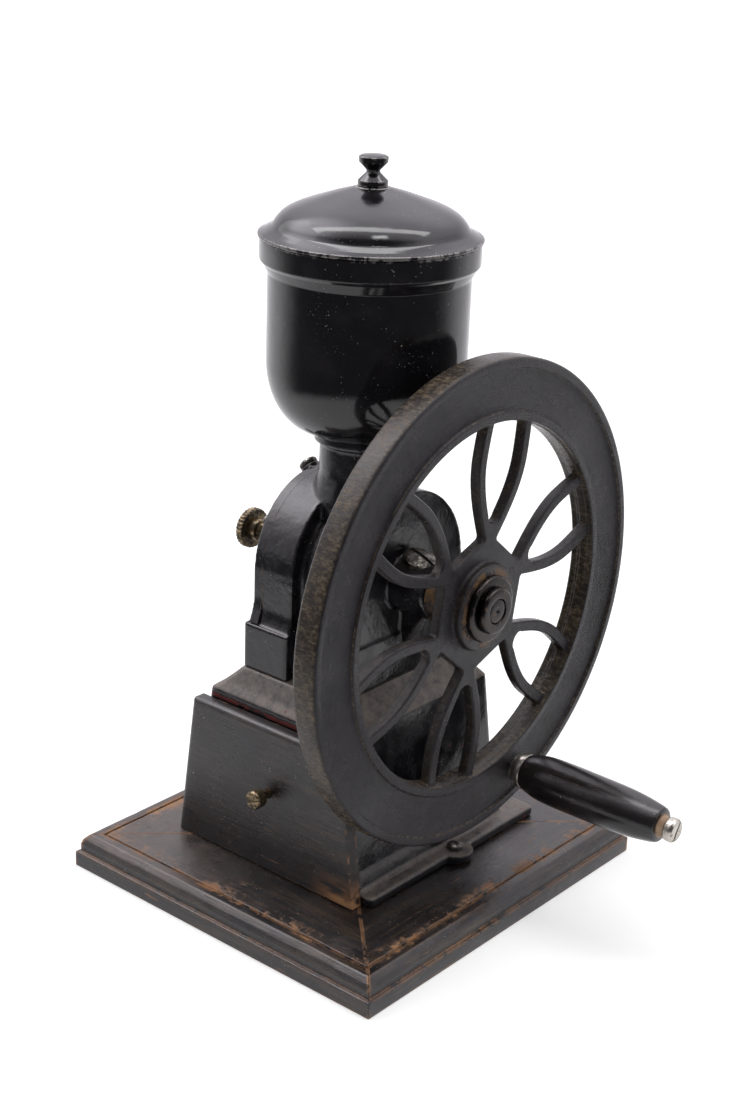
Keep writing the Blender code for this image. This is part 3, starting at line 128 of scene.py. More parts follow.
def spin(profile, place=(0, 0, 0), direction=ALONG_Z, sides=ROUND, bm=None):
    # Spin (radius, height) points round a line. Radius 0 makes a pole; an outline
    # without a pole closes on itself.
    bm = bm or bmesh.new()
    matrix = aim(place, direction)
    rings = []
    for radius, height in profile:
        if radius == 0:
            rings.append(bm.verts.new(matrix @ Vector((0, 0, height))))
            continue
        ring = []
        for k in range(sides):
            turn = 2 * math.pi * k / sides
            spot = Vector((radius * math.cos(turn), radius * math.sin(turn), height))
            ring.append(bm.verts.new(matrix @ spot))
        rings.append(ring)
    pairs = list(zip(rings, rings[1:]))
    if all(isinstance(ring, list) for ring in rings):
        pairs.append((rings[-1], rings[0]))
    for low, high in pairs:
        for k in range(sides):
            m = (k + 1) % sides
            if not isinstance(low, list):
                bm.faces.new((low, high[m], high[k]))
            elif not isinstance(high, list):
                bm.faces.new((low[k], low[m], high))
            else:
                bm.faces.new((low[k], low[m], high[m], high[k]))
    return bm


def rod(radius, low, high, place=(0, 0, 0), direction=ALONG_Z, sides=ROUND, ease=0.0):
    profile = [(0, low), (radius, low), (radius, high), (0, high)]
    return spin(soften(profile, ease) if ease else profile, place, direction, sides)


def prism(outline, low, high, plane):
    # Push an outline out square to its plane: "YZ" along X, "XZ" along Y, "XY" along Z
    bm = bmesh.new()
    order = {"YZ": lambda u, v, w: (w, u, v), "XZ": lambda u, v, w: (u, w, v),
             "XY": lambda u, v, w: (u, v, w)}
    rings = [[bm.verts.new(order[plane](u, v, w)) for u, v in outline] for w in (low, high)]
    skin(bm, rings, caps=True)
    return bm


def block(low, high):
    return prism([(low[0], low[1]), (high[0], low[1]), (high[0], high[1]), (low[0], high[1])],
                 low[2], high[2], "XY")


def stacked(sections, corner=0.0, steps=5):
    # Rectangles (x low, x high, y low, y high, z) with round corners, skinned upwards
    bm = bmesh.new()
    rings = []
    for x0, x1, y0, y1, z in sections:
        outline = [(x0, y0), (x1, y0), (x1, y1), (x0, y1)]
        if corner:
            outline = soften(outline, corner, steps, closed=True)
        rings.append([bm.verts.new((x, y, z)) for x, y in outline])
    skin(bm, rings, caps=True)
    return bm


# %% [markdown]
# ## From mesh to piece
# A piece needs a mesh, a finish, a CAD body to ride on, and the CAD nodes that it stands
# for. Cuts are made with Boolean modifiers and then baked into the mesh, so no cutter is
# left in the scene. Castings get their soft inner corners from a voxel remesh and a
# smoothing pass: it melts joined blocks into one skin, much as sand and paint do.

# %% Pieces
def make_object(name, bm):
    bmesh.ops.recalc_face_normals(bm, faces=bm.faces)
    bm.transform(Matrix.Scale(MM, 4))
    mesh = bpy.data.meshes.new(name)
    bm.to_mesh(mesh)
    bm.free()
    item = bpy.data.objects.new(name, mesh)
    bpy.context.collection.objects.link(item)
    return item


def settle(item):
    # Bake the modifiers into the mesh
    graph = bpy.context.evaluated_depsgraph_get()
    mesh = bpy.data.meshes.new_from_object(item.evaluated_get(graph))
    item.modifiers.clear()
    item.data = mesh


def combine(item, tools, operation, solver="EXACT"):
    made = []
    for bm in tools:
        tool = make_object("tool", bm)
        modifier = item.modifiers.new("join_or_cut", "BOOLEAN")
        modifier.operation = operation
        modifier.solver = solver
        modifier.object = tool
        made.append(tool)
    settle(item)
    for tool in made:
        bpy.data.objects.remove(tool, do_unlink=True)


def round_edges(item, width, segments=2, angle=40):
    bevel = item.modifiers.new("soft_edges", "BEVEL")
    bevel.width = width * MM
    bevel.segments = segments
    bevel.limit_method = "ANGLE"
    bevel.angle_limit = math.radians(angle)
    settle(item)


def melt(item, voxel, passes, keep):
    # One cast skin: remesh, smooth, then thin out the flat parts
    remesh = item.modifiers.new("one_skin", "REMESH")
    remesh.mode = "VOXEL"
    remesh.voxel_size = voxel * MM
    relax = item.modifiers.new("relax", "SMOOTH")
    relax.factor = 0.5
    relax.iterations = passes
    thin = item.modifiers.new("thin_out", "DECIMATE")
    thin.ratio = keep
    settle(item)


def dress(item, material, body, replaced, sharp=32):
    item.data.materials.clear()
    item.data.materials.append(material)
    item.data.shade_smooth()
    if sharp:
        item.data.set_sharp_from_angle(angle=math.radians(sharp))
    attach(item, body)
    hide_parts(*replaced)
    print(f"{item.name}: {len(item.data.polygons)} faces")


def turned(name, outline, line, sides, material, body, sharp=40):
    # A lathe piece on a line (place, direction)
    item = make_object(name + "_piece", spin(outline, *line, sides))
    dress(item, material, body, [name], sharp)


def cut_slot(item, matrix, reach, width, depth, turn):
    # A screwdriver slot in a head whose top's middle is at matrix
    bar = block((-reach, -width / 2, -depth), (reach, width / 2, 4))
    bar.transform(matrix @ Matrix.Rotation(math.radians(turn), 4, "Z"))
    combine(item, [bar], "DIFFERENCE")


# %% [markdown]
# ## Helpers for finishes
# A finish is a small graph of shader nodes. Three questions come back in every one of them:
# where on the piece am I, is this an edge, and is this one of the random worn spots? Object
# coordinates answer the first, because they move with the piece and are in metres. A Bevel
# node compared with the true normal answers the second, and noise answers the third.

# %% Shader nodes
def fill(tree, socket, value):
    # A link for a socket's value, or a plain number or colour
    if isinstance(value, bpy.types.NodeSocket):
        tree.links.new(value, socket)
    else:
        socket.default_value = (*value, 1) if socket.type == "RGBA" else value


def add_node(tree, kind, inputs=None, **settings):
    made = tree.nodes.new(kind)
    for key, value in settings.items():
        setattr(made, key, value)
    for key, value in (inputs or {}).items():
        fill(tree, made.inputs[key], value)
    return made


def new_finish(name):
    material = bpy.data.materials.new(name)
    material.use_nodes = True
    tree = material.node_tree
    return material, tree, tree.nodes["Principled BSDF"]


def place_in(tree, stretch=(1, 1, 1)):
    spot = add_node(tree, "ShaderNodeTexCoord").outputs["Object"]
    return add_node(tree, "ShaderNodeMapping", {"Vector": spot, "Scale": stretch}).outputs["Vector"]


def ramp(tree, value, low, high, start=0.0, end=1.0):
    made = add_node(tree, "ShaderNodeMapRange",
                    {"Value": value, "From Min": low, "From Max": high, "To Min": start, "To Max": end},
                    interpolation_type="SMOOTHSTEP")
    return made.outputs["Result"]


def spots(tree, size_mm, low, high, stretch=(1, 1, 1), detail=3.0, rough=0.55, seed=0.0):
    # Soft random patches of about size_mm, 0 to 1
    made = add_node(tree, "ShaderNodeTexNoise",
                    {"Vector": place_in(tree, stretch), "W": seed, "Scale": 1 / (size_mm * MM),
                     "Detail": detail, "Roughness": rough}, noise_dimensions="4D")
    return ramp(tree, made.outputs["Fac"], low, high)


def maths(tree, operation, first, *others):
    # Chain the values by one operation and keep each result between 0 and 1
    for other in others:
        first = add_node(tree, "ShaderNodeMath", {0: first, 1: other}, operation=operation,
                         use_clamp=True).outputs["Value"]
    return first


def times(tree, *masks):
    return maths(tree, "MULTIPLY", *masks)


def largest(tree, *masks):
    return maths(tree, "MAXIMUM", *masks)


def vector_maths(tree, operation, first, second=(0, 0, 0)):
    made = add_node(tree, "ShaderNodeVectorMath", {0: first, 1: second}, operation=operation)
    return made.outputs["Value"]


def parts_of(tree, output="Object"):
    # X, Y and Z of the place or the normal on the piece
    spot = add_node(tree, "ShaderNodeTexCoord").outputs[output]
    return add_node(tree, "ShaderNodeSeparateXYZ", {"Vector": spot}).outputs


def edges(tree, radius_mm, low=0.02, high=0.2):
    # 1 on edges and in corners, 0 on flats
    bent = add_node(tree, "ShaderNodeBevel", {"Radius": radius_mm * MM}, samples=4).outputs["Normal"]
    true = add_node(tree, "ShaderNodeNewGeometry").outputs["Normal"]
    away = add_node(tree, "ShaderNodeMath", {0: 1.0, 1: vector_maths(tree, "DOT_PRODUCT", bent, true)},
                    operation="SUBTRACT").outputs["Value"]
    return ramp(tree, away, low, high)


def facing_up(tree):
    # 1 on faces where dust settles, 0 on walls
    return ramp(tree, parts_of(tree, "Normal")["Z"], 0.20, 0.70)


def pale_specks(tree, size_mm=0.8, seed=20.0):
    # A few pale dots, as old paint picks up
    dots = spots(tree, size_mm, 0.71, 0.745, detail=1, seed=seed)
    return times(tree, dots, spots(tree, 16, 0.48, 0.60, seed=seed + 1))


def mix(tree, data_type, values, output):
    made = add_node(tree, "ShaderNodeMix", data_type=data_type)
    for index, value in values.items():
        fill(tree, made.inputs[index], value)
    return made.outputs[output]


def mixed(tree, factor, first, second):
    return mix(tree, "RGBA", {0: factor, 6: first, 7: second}, 2)


def blended(tree, factor, first, second):
    return mix(tree, "FLOAT", {0: factor, 2: first, 3: second}, 0)


def bumps(tree, shader, layers):
    # Layers of (height, strength, depth in mm), one on top of the other
    normal = None
    for height, strength, depth in layers:
        inputs = {"Height": height, "Strength": strength, "Distance": depth * MM}
        if normal:
            inputs["Normal"] = normal
        normal = add_node(tree, "ShaderNodeBump", inputs).outputs["Normal"]
    tree.links.new(normal, shader.inputs["Normal"])


def plug(tree, shader, **values):
    for key, value in values.items():
        fill(tree, shader.inputs[key.replace("_", " ").title().replace("Ior", "IOR")], value)


# %% [markdown]
# ## The enamel of the hopper and lid
# The hopper and its lid are spun sheet under glossy black enamel. It is smooth but not a
# mirror: fine grime dulls it in patches, dust leaves pale specks, and along the lid's rim
# the enamel is chipped down to bright metal. Chips follow edges, so the edge mask is
# multiplied with noise instead of painting the whole edge.

# %% Black enamel
def enamel(name, chip_amount):
    material, tree, shader = new_finish(name)
    grime = spots(tree, 14, 0.42, 0.75, detail=5)
    fine = spots(tree, 0.9, 0.45, 0.8, seed=2)
    chips = times(tree, edges(tree, 1.6, 0.015, 0.09),
                  spots(tree, 3.0, 0.60 - chip_amount, 0.65 - chip_amount, detail=7, rough=0.6, seed=5))
    specks = pale_specks(tree, 0.7, 9)
    marks = largest(tree, chips, specks)
    colour = mixed(tree, grime, (0.0050, 0.0045, 0.0056), (0.0105, 0.0095, 0.0110))
    colour = mixed(tree, marks, colour, (0.42, 0.40, 0.38))
    gloss = blended(tree, grime, 0.10, 0.20)
    gloss = blended(tree, marks, gloss, 0.5)
    plug(tree, shader, base_color=colour, roughness=gloss, metallic=blended(tree, chips, 0.0, 0.6))
    bumps(tree, shader, [(spots(tree, 26, 0.2, 0.8), 0.25, 0.6), (fine, 0.04, 0.1), (marks, 0.3, -0.1)])
    return material


hopper_enamel = enamel("hopper_enamel", 0.08)
lid_enamel = enamel("lid_enamel", 0.16)
knob_enamel = enamel("knob_enamel", 0.11)


# %% [markdown]
# ## Painted castings
# The mill's body and drawer housing are rough sand castings under thick brushed paint. The
# sand leaves soft lumps of one to four millimetres, which catch the light as broken
# glints. An older red coat shows where the black has gone. Displacing the mesh would cost
# many faces for lumps this shallow, so they are bump, in two sizes.

# %% Black paint on iron
def casting_paint(name, red_amount, dusty=0.12, gloss_low=0.10, gloss_high=0.26, extra=None):
    material, tree, shader = new_finish(name)
    patches = spots(tree, 11, 0.35, 0.7, detail=5)
    lumps = spots(tree, 1.5, 0.2, 0.8, detail=4, rough=0.6, seed=3)
    broad = spots(tree, 8, 0.2, 0.8, detail=2, seed=4)
    worn = times(tree, edges(tree, 1.6, 0.04, 0.25), spots(tree, 4, 0.47, 0.60, detail=6, seed=6))
    red = times(tree, spots(tree, 5, 0.67 - red_amount, 0.70 - red_amount, detail=5, seed=7),
                spots(tree, 38, 0.52, 0.60, seed=8))
    if extra:
        red = largest(tree, red, extra(tree))
    dust = times(tree, facing_up(tree), spots(tree, 5, 0.22, 0.66, detail=8, rough=0.7, seed=13), dusty)
    colour = mixed(tree, patches, (0.0050, 0.0045, 0.0060), (0.0110, 0.0100, 0.0125))
    colour = mixed(tree, dust, colour, (0.175, 0.145, 0.125))
    colour = mixed(tree, worn, colour, (0.075, 0.052, 0.038))
    colour = mixed(tree, red, colour, (0.105, 0.013, 0.010))
    colour = mixed(tree, pale_specks(tree), colour, (0.40, 0.38, 0.34))
    gloss = blended(tree, patches, gloss_low, gloss_high)
    gloss = blended(tree, largest(tree, worn, red, dust), gloss, 0.55)
    plug(tree, shader, base_color=colour, roughness=gloss, specular_ior_level=0.48)
    bumps(tree, shader, [(broad, 0.30, 0.5), (lumps, 0.20, 0.18), (worn, 0.4, -0.15)])
    return material


body_paint = casting_paint("body_paint", 0.02)


def red_strip(tree):
    # The old red coat shows where the drawer's front rubs under the eave
    parts = parts_of(tree)
    return times(tree, ramp(tree, parts["Z"], 0.0964, 0.0971), ramp(tree, parts["Z"], 0.0993, 0.0985),
                 ramp(tree, parts["Y"], -0.0540, -0.0545),
                 spots(tree, 5, 0.38, 0.52, (0.5, 1, 1), detail=7, seed=15))


housing_paint = casting_paint("housing_paint", 0.04, 1.0, 0.14, 0.32, extra=red_strip)


# %% [markdown]
# ## The flywheel's iron
# The wheel's face is a dull dark grey: old paint polished thin by hands and cloth. On the
# outer edge of the rim and along the spokes it has gone to brown rust. The mesh normal
# tells the two apart: where it points along the shaft we are on the face, elsewhere we are
# on an edge. The object's own normal is used, so the rust turns with the wheel. Brush marks
# run round the shaft: the distance from it is the noise's fourth coordinate.

# %% Worn wheel paint
SHAFT = Vector((0, 0, 165))


def wheel_paint():
    material, tree, shader = new_finish("wheel_paint")
    facing = add_node(tree, "ShaderNodeMath", {0: parts_of(tree, "Normal")["X"]}, operation="ABSOLUTE")
    from_shaft = vector_maths(tree, "DISTANCE", place_in(tree, (0, 1, 1)), SHAFT * MM)
    side = times(tree, ramp(tree, facing.outputs["Value"], 0.85, 0.35),
                 ramp(tree, from_shaft, 0.084, 0.090, 0.25, 1.0))
    ring = add_node(tree, "ShaderNodeMath", {0: from_shaft, 1: 1 / (1.2 * MM)}, operation="MULTIPLY")
    brushed = spots(tree, 22, 0.38, 0.70, detail=3, seed=ring.outputs["Value"])
    patches = spots(tree, 13, 0.35, 0.68, detail=6)
    streaks = spots(tree, 4, 0.35, 0.75, detail=6, rough=0.65, seed=2)
    pits = spots(tree, 1.2, 0.40, 0.72, detail=5, rough=0.7, seed=3)
    broad = spots(tree, 6, 0.2, 0.8, seed=8)
    rust = times(tree, side, spots(tree, 14, 0.25, 0.62, detail=8, rough=0.7, seed=4))
    crumbs = times(tree, rust, spots(tree, 2.0, 0.42, 0.72, (0.6, 1, 1), detail=9, rough=0.75, seed=6))
    by_hub = times(tree, ramp(tree, from_shaft, 0.0210, 0.0180),
                   spots(tree, 7, 0.46, 0.60, detail=8, rough=0.7, seed=11))
    worn = times(tree, edges(tree, 1.2, 0.04, 0.30),
                 spots(tree, 7, 0.46, 0.66, detail=8, rough=0.7, seed=5), 0.7)
    stain = times(tree, spots(tree, 2.4, 0.62, 0.72, detail=5, seed=9),
                  spots(tree, 30, 0.45, 0.60, seed=10), 0.7)
    colour = mixed(tree, patches, (0.0078, 0.0066, 0.0088), (0.0175, 0.0150, 0.0185))
    for mask, over in ((times(tree, streaks, 0.45), (0.030, 0.0265, 0.025)), (stain, (0.060, 0.036, 0.020)),
                       (rust, (0.030, 0.0235, 0.0175)), (crumbs, (0.165, 0.120, 0.075)),
                       (by_hub, (0.150, 0.086, 0.040)), (worn, (0.075, 0.056, 0.040))):
        colour = mixed(tree, mask, colour, over)
    gloss = blended(tree, largest(tree, crumbs, by_hub), blended(tree, patches, 0.15, 0.30), 0.5)
    plug(tree, shader, base_color=colour, roughness=gloss, specular_ior_level=0.24)
    bumps(tree, shader, [(broad, 0.22, 0.3), (brushed, 0.35, 0.15), (pits, 0.35, 0.14), (crumbs, 0.4, 0.18)])
    return material


wheel_finish = wheel_paint()


# %% [markdown]
# ## Wood
# The base, the drawer front and the grip were painted black long ago. The paint is thin
# enough for the grain to show as fine ridges, and it has worn to orange wood along the
# mouldings, the mitres and wherever something rubbed. Grain is noise stretched along the
# board, so the finish takes the direction of its board. One function serves every board.

# %% Painted and bare wood
def grain_stretch(direction):
    return tuple(0.06 if axis == direction else 1.0 for axis in "XYZ")


ORANGE_WOOD = ((0.40, 0.205, 0.095), (0.17, 0.080, 0.038))


def painted_wood(name, direction, wear, gloss=0.18, grain_depth=0.18, dusty=0.0, extra=None,
                 under=ORANGE_WOOD):
    material, tree, shader = new_finish(name)
    stretch = grain_stretch(direction)
    grain = spots(tree, 0.9, 0.3, 0.75, stretch, detail=6, rough=0.65)
    bands = spots(tree, 5, 0.3, 0.7, stretch, detail=4, seed=2)
    patches = spots(tree, 18, 0.35, 0.65, detail=6, seed=3)
    rubbed = times(tree, edges(tree, 2.0, 0.01, 0.14),
                   spots(tree, 8, 0.64 - wear, 0.69 - wear, detail=9, rough=0.72, seed=4))
    stray = times(tree, spots(tree, 2.4, 0.61, 0.67, stretch, detail=7, rough=0.65, seed=5),
                  spots(tree, 26, 0.44, 0.58, seed=6), wear * 4)
    bare = largest(tree, rubbed, stray)
    if extra:
        bare = largest(tree, bare, extra(tree))
    paint = mixed(tree, patches, (0.0055, 0.0049, 0.0058), (0.0125, 0.0110, 0.0122))
    paint = mixed(tree, times(tree, grain, 0.35), paint, (0.021, 0.018, 0.019))
    dust = times(tree, facing_up(tree), spots(tree, 7, 0.20, 0.75, detail=9, rough=0.75, seed=13),
                 ramp(tree, parts_of(tree)["X"], 0.020, -0.080, 0.04, dusty))
    paint = mixed(tree, dust, paint, (0.135, 0.102, 0.084))
    stained = times(tree, spots(tree, 3, 0.44, 0.64, stretch, detail=8, rough=0.7, seed=16),
                    spots(tree, 30, 0.36, 0.60, seed=17), wear * 4)
    paint = mixed(tree, stained, paint, (0.062, 0.040, 0.025))
    colour = mixed(tree, bare, paint, mixed(tree, bands, *under))
    colour = mixed(tree, pale_specks(tree), colour, (0.42, 0.39, 0.34))
    smooth = blended(tree, patches, gloss, gloss + 0.14)
    roughness = blended(tree, largest(tree, bare, times(tree, dust, 0.5)), smooth, 0.62)
    plug(tree, shader, base_color=colour, roughness=roughness, specular_ior_level=0.5)
    bumps(tree, shader, [(patches, 0.2, 0.4), (grain, 0.45, grain_depth), (bare, 0.4, -0.3)])
    return material


def bare_wood(name, direction):
    material, tree, shader = new_finish(name)
    stretch = grain_stretch(direction)
    grain = spots(tree, 0.8, 0.3, 0.75, stretch, detail=6, rough=0.65)
    bands = spots(tree, 6, 0.3, 0.7, stretch, detail=4, seed=2)
    stain = spots(tree, 25, 0.45, 0.75, detail=5, seed=3)
    colour = mixed(tree, bands, (0.40, 0.23, 0.11), (0.27, 0.14, 0.065))
    colour = mixed(tree, times(tree, grain, 0.4), colour, (0.13, 0.07, 0.035))
    colour = mixed(tree, times(tree, stain, 0.5), colour, (0.10, 0.055, 0.03))
    plug(tree, shader, base_color=colour, roughness=0.72)
    bumps(tree, shader, [(grain, 0.4, 0.12)])
    return material


# %% [markdown]
# ## Brass, nickel and steel
# The small metal parts are tarnished in different ways. Brass goes brown in its hollows and
# stays bright on its ridges, nickel goes milky, and steel screws go grey-brown. They
# share one graph: a clean metal, a dull one, and a mask of patches that mixes them.

# %% Small metal parts
def old_metal(name, clean, dull, amount, gloss=0.32, depth=0.06):
    material, tree, shader = new_finish(name)
    tarnish = spots(tree, 2.6, 0.62 - amount, 0.78 - amount, detail=6, rough=0.65)
    scratches = spots(tree, 0.5, 0.3, 0.7, (1, 1, 0.2), detail=4, seed=3)
    rubbed = edges(tree, 0.7, 0.05, 0.3)
    tarnish = times(tree, tarnish, blended(tree, rubbed, 1.0, 0.35))
    plug(tree, shader, base_color=mixed(tree, tarnish, clean, dull),
         roughness=blended(tree, tarnish, gloss, 0.62), metallic=blended(tree, tarnish, 1.0, 0.45))
    bumps(tree, shader, [(tarnish, 0.3, depth), (scratches, 0.12, 0.05)])
    return material


brass = old_metal("old_brass", (0.19, 0.145, 0.085), (0.030, 0.023, 0.015), 0.19)
nickel = old_metal("worn_nickel", (0.50, 0.47, 0.42), (0.17, 0.145, 0.115), 0.12, gloss=0.28, depth=0.02)
steel = old_metal("old_steel", (0.42, 0.40, 0.37), (0.075, 0.055, 0.040), 0.14)
dark_steel = old_metal("dark_steel", (0.20, 0.19, 0.175), (0.035, 0.028, 0.023), 0.20, gloss=0.35)
rusty_steel = old_metal("rusty_steel", (0.040, 0.037, 0.036), (0.100, 0.058, 0.030), 0.07, gloss=0.20)
plug_steel = old_metal("plug_steel", (0.13, 0.12, 0.10), (0.034, 0.030, 0.026), 0.20, gloss=0.24)
bare_iron = old_metal("bare_iron", (0.30, 0.29, 0.28), (0.09, 0.075, 0.065), 0.10)


# %% [markdown]
# ## The wooden base
# Four rails are mitred round a panel, with a stepped and rounded edge and a fine groove in
# the top. A rail is one section swept along its length and cut at 45 degrees at both ends,
# so each ring of the sweep is shortened by the distance that its points lie in from the
# edge. Old wood is never quite straight: a little noise moves the section as it goes.

# %% Base rails
BASE_WIDTH, BASE_DEPTH, BASE_TOP, GROOVE_FLOOR = 200.0, 213.3, 18.0, 16.8
RAIL_INNER = 49.85
JOINT_GAP = 0.15


def groove_wear(tree):
    # Bare wood in broken streaks on both sides of the groove
    parts = parts_of(tree)
    insets = []
    for axis, half in (("X", BASE_WIDTH / 2), ("Y", BASE_DEPTH / 2)):
        across = add_node(tree, "ShaderNodeMath", {0: parts[axis]}, operation="ABSOLUTE").outputs["Value"]
        insets.append(maths(tree, "SUBTRACT", half * MM, across))
    inset = maths(tree, "MINIMUM", *insets)
    return times(tree, ramp(tree, inset, 0.0072, 0.0100), ramp(tree, inset, 0.0200, 0.0120),
                 ramp(tree, parts["Z"], 0.0160, 0.0166),
                 spots(tree, 12, 0.50, 0.58, detail=10, rough=0.72, seed=14))


black_base_x = painted_wood("painted_rail_x", "X", 0.205, dusty=0.9, extra=groove_wear)
black_base_y = painted_wood("painted_rail_y", "Y", 0.205, dusty=0.9, extra=groove_wear)

rail_section = soften([(0.0, 0.0, 0.6), (0.0, 8.4, 1.8), (2.0, 8.6, 0.5), (2.0, 12.6, 0.9), (2.9, 15.2, 3.0),
                       (5.6, BASE_TOP, 1.4), (10.2, BASE_TOP, 0.5), (10.6, GROOVE_FLOOR, 0.3),
                       (11.2, GROOVE_FLOOR, 0.3), (11.6, BASE_TOP, 0.5), (30.0, BASE_TOP, 0),
                       (RAIL_INNER, BASE_TOP, 0.3), (RAIL_INNER, 0.0, 0.3), (25.0, 0.0, 0)],
                      0.3, 4, closed=True)


def base_rail(name, length, reach, turn, material):
    bm = bmesh.new()
    rings = []
    stations = round(length / 3)
    for k in range(stations + 1):
        share = 2 * k / stations - 1
        ring = []
        for inset, z in rail_section:
            x = share * (length / 2 - inset - JOINT_GAP)
            dent = 0.0
            if inset < 14 and z > 1 and abs(share) < 0.999:
                spot = Vector((x * 0.05, reach * 0.1 + turn, z * 0.03))
                dent = max(0.0, noise.noise(spot) * 0.5 + noise.noise(spot * 5) * 0.25)
            ring.append(bm.verts.new((x, inset - reach + dent, z - dent * 0.3)))
        rings.append(ring)
    skin(bm, rings, caps=True)
    bm.transform(Matrix.Rotation(math.radians(turn), 4, "Z"))
    dress(make_object(name + "_piece", bm), material, "stand", [name])


for side, turn in (("front", 0), ("rear", 180)):
    base_rail(f"base_{side}_rail", BASE_WIDTH, BASE_DEPTH / 2, turn, black_base_x)
for side, turn in (("right", 90), ("left", 270)):
    base_rail(f"base_{side}_rail", BASE_DEPTH, BASE_WIDTH / 2, turn, black_base_y)


# %% [markdown]
# ## The drawer housing
# This is a thin sand casting: tapered walls, a hipped roof that carries the mill, a flange
# with a cove above it, and two round ears for the wood screws. It is stacked up from
# rectangles with round corners. The ears are joined on, the hollow and its mouth are cut
# out, and the whole is melted into one skin, which rounds the edges as a casting's are.

# %% Housing
MILL_X = -7.2
HOUSING_Z, FLANGE_TOP, EAVE, ROOF = 18.3, 23.3, 101.0, 114.0
HOUSING_FRONT, HOUSING_REAR_FOOT, HOUSING_REAR_EAVE = -56.5, 56.5, 55.2
HOUSING_FOOT_HALF, HOUSING_EAVE_HALF, WALL = 56.3, 45.5, 3.5
FLANGE_HALF, FLANGE_FRONT, FLANGE_REAR = 65.5, -57.0, 77.0
COVE_HALF, COVE_RISE, COVE_TOP = 57.2, 8.4, 31.8
EAR_SPOTS = [(MILL_X - 62.8, 12.0), (MILL_X + 62.8, 12.0)]
BOLT_SPOTS = [(6, -27), (6, 27)]
CHUTE_LOW, CHUTE_HIGH = (-29, -24), (-13, 24)


def housing_half(z):
    return HOUSING_FOOT_HALF + (HOUSING_EAVE_HALF - HOUSING_FOOT_HALF) * (z - HOUSING_Z) / (EAVE - HOUSING_Z)


def housing_row(z, half, front, rear):
    return (MILL_X - half, MILL_X + half, front, rear, z)


rows = [housing_row(z, FLANGE_HALF, FLANGE_FRONT, FLANGE_REAR) for z in (HOUSING_Z, FLANGE_TOP - 0.8)]
rows.append(housing_row(FLANGE_TOP, FLANGE_HALF - 0.8, FLANGE_FRONT + 0.2, FLANGE_REAR - 0.8))
for k in range(9):
    turn = math.pi / 2 * k / 8
    height = FLANGE_TOP + 0.1 + COVE_RISE * math.sin(turn)
    spread = (1 - math.cos(turn)) ** 0.5
    half = COVE_HALF + (housing_half(COVE_TOP) - COVE_HALF) * spread
    rows.append(housing_row(height, half, HOUSING_FRONT, 60.0 - 3.7 * spread))
for k in range(1, 8):
    height = COVE_TOP + (EAVE - COVE_TOP) * k / 7
    share = (height - HOUSING_Z) / (EAVE - HOUSING_Z)
    rear = HOUSING_REAR_FOOT + (HOUSING_REAR_EAVE - HOUSING_REAR_FOOT) * share
    rows.append(housing_row(height, housing_half(height), HOUSING_FRONT, rear))
roof = (-38.8, 25.9, -47.8, 47.8)
eave = housing_row(EAVE, HOUSING_EAVE_HALF, HOUSING_FRONT, HOUSING_REAR_EAVE)[:4]
for share in (0.33, 0.66, 1.0):
    # The slopes sag a little between the eave and the mill's foot
    sides = [low + (high - low) * share ** 0.85 for low, high in zip(eave, roof)]
    rows.append((*sides, EAVE + (ROOF - EAVE) * share))

housing = make_object("drawer_housing_piece", stacked(rows, 3.2))
ears = [rod(9.5, HOUSING_Z + 0.3, FLANGE_TOP - 0.3, (x, y, 0), sides=48) for x, y in EAR_SPOTS]
combine(housing, ears, "UNION")
hollow = stacked([housing_row(14.3, housing_half(HOUSING_Z) - WALL, -53.0, 53.0),
                  housing_row(97.5, HOUSING_EAVE_HALF - WALL, -53.0, 51.7),
                  (-35.0, 21.5, -44.0, 44.0, 110.0)])
mouth = stacked([housing_row(10.3, housing_half(HOUSING_Z) - 4.5, -60.5, -49.5),
                 housing_row(92.0, housing_half(92.0) - 4.5, -60.5, -49.5)])
combine(housing, [hollow, mouth, block((*CHUTE_LOW, 106), (*CHUTE_HIGH, 118))], "DIFFERENCE")
melt(housing, 0.85, 4, 0.30)
holes = [rod(2.1, 14, 28, (x, y, 0), sides=SMALL) for x, y in EAR_SPOTS]
holes += [rod(2.1, 106, 118, (x, y, 0), sides=SMALL) for x, y in BOLT_SPOTS]
combine(housing, holes, "DIFFERENCE", "MANIFOLD")
dress(housing, housing_paint, "stand", ["drawer_housing"])


# %% [markdown]
# ## Slotted screws
# Old wood screws and machine screws have a low domed head with one slot. The head is turned
# from a soft outline and the slot is cut across it. One function makes them all; the slot's
# turn differs from screw to screw, because nobody lines them up.

# %% Screws
def screw_head(radius, seat, height, round_share=0.6):
    side = seat + height * (1 - round_share)
    rise = height * round_share
    dome = [(radius * x, side + rise * z) for x, z in arc((0, 0), 1, 15, 75, 4)]
    return [(radius, seat), (radius, side)] + dome + [(0, seat + height)]


def screw(name, head_radius, height, shank_radius, length, seat, place, direction, slot_width, slot_turn,
          material):
    shank = [(0, seat - length), (shank_radius * 0.5, seat - length), (shank_radius, seat - length + 1.5),
             (shank_radius, seat)]
    outline = shank + screw_head(head_radius, seat, height)
    item = make_object(name + "_piece", spin(outline, place, direction, 40))
    top = aim(place, direction) @ Matrix.Translation((0, 0, seat + height))
    cut_slot(item, top, head_radius * 2, slot_width, height * 0.45, slot_turn)
    round_edges(item, 0.18, 2, 45)
    dress(item, material, "stand", [name])


for side, (x, y), turn in zip(("left", "right"), EAR_SPOTS, (35, 20)):
    screw(f"housing_screw_{side}", 4.2, 2.6, 1.8, 15.8, FLANGE_TOP + 0.3, (x, y, 0), ALONG_Z, 1.2, turn,
          dark_steel)


# %% [markdown]
# ## The drawer
# The drawer's front is a thick board, tapered like the housing and rounded along its top.
# The tray behind it is thin raw wood. The boards keep the CAD's shapes, because they are
# plain sawn boards, and only take a finish with the grain along them.

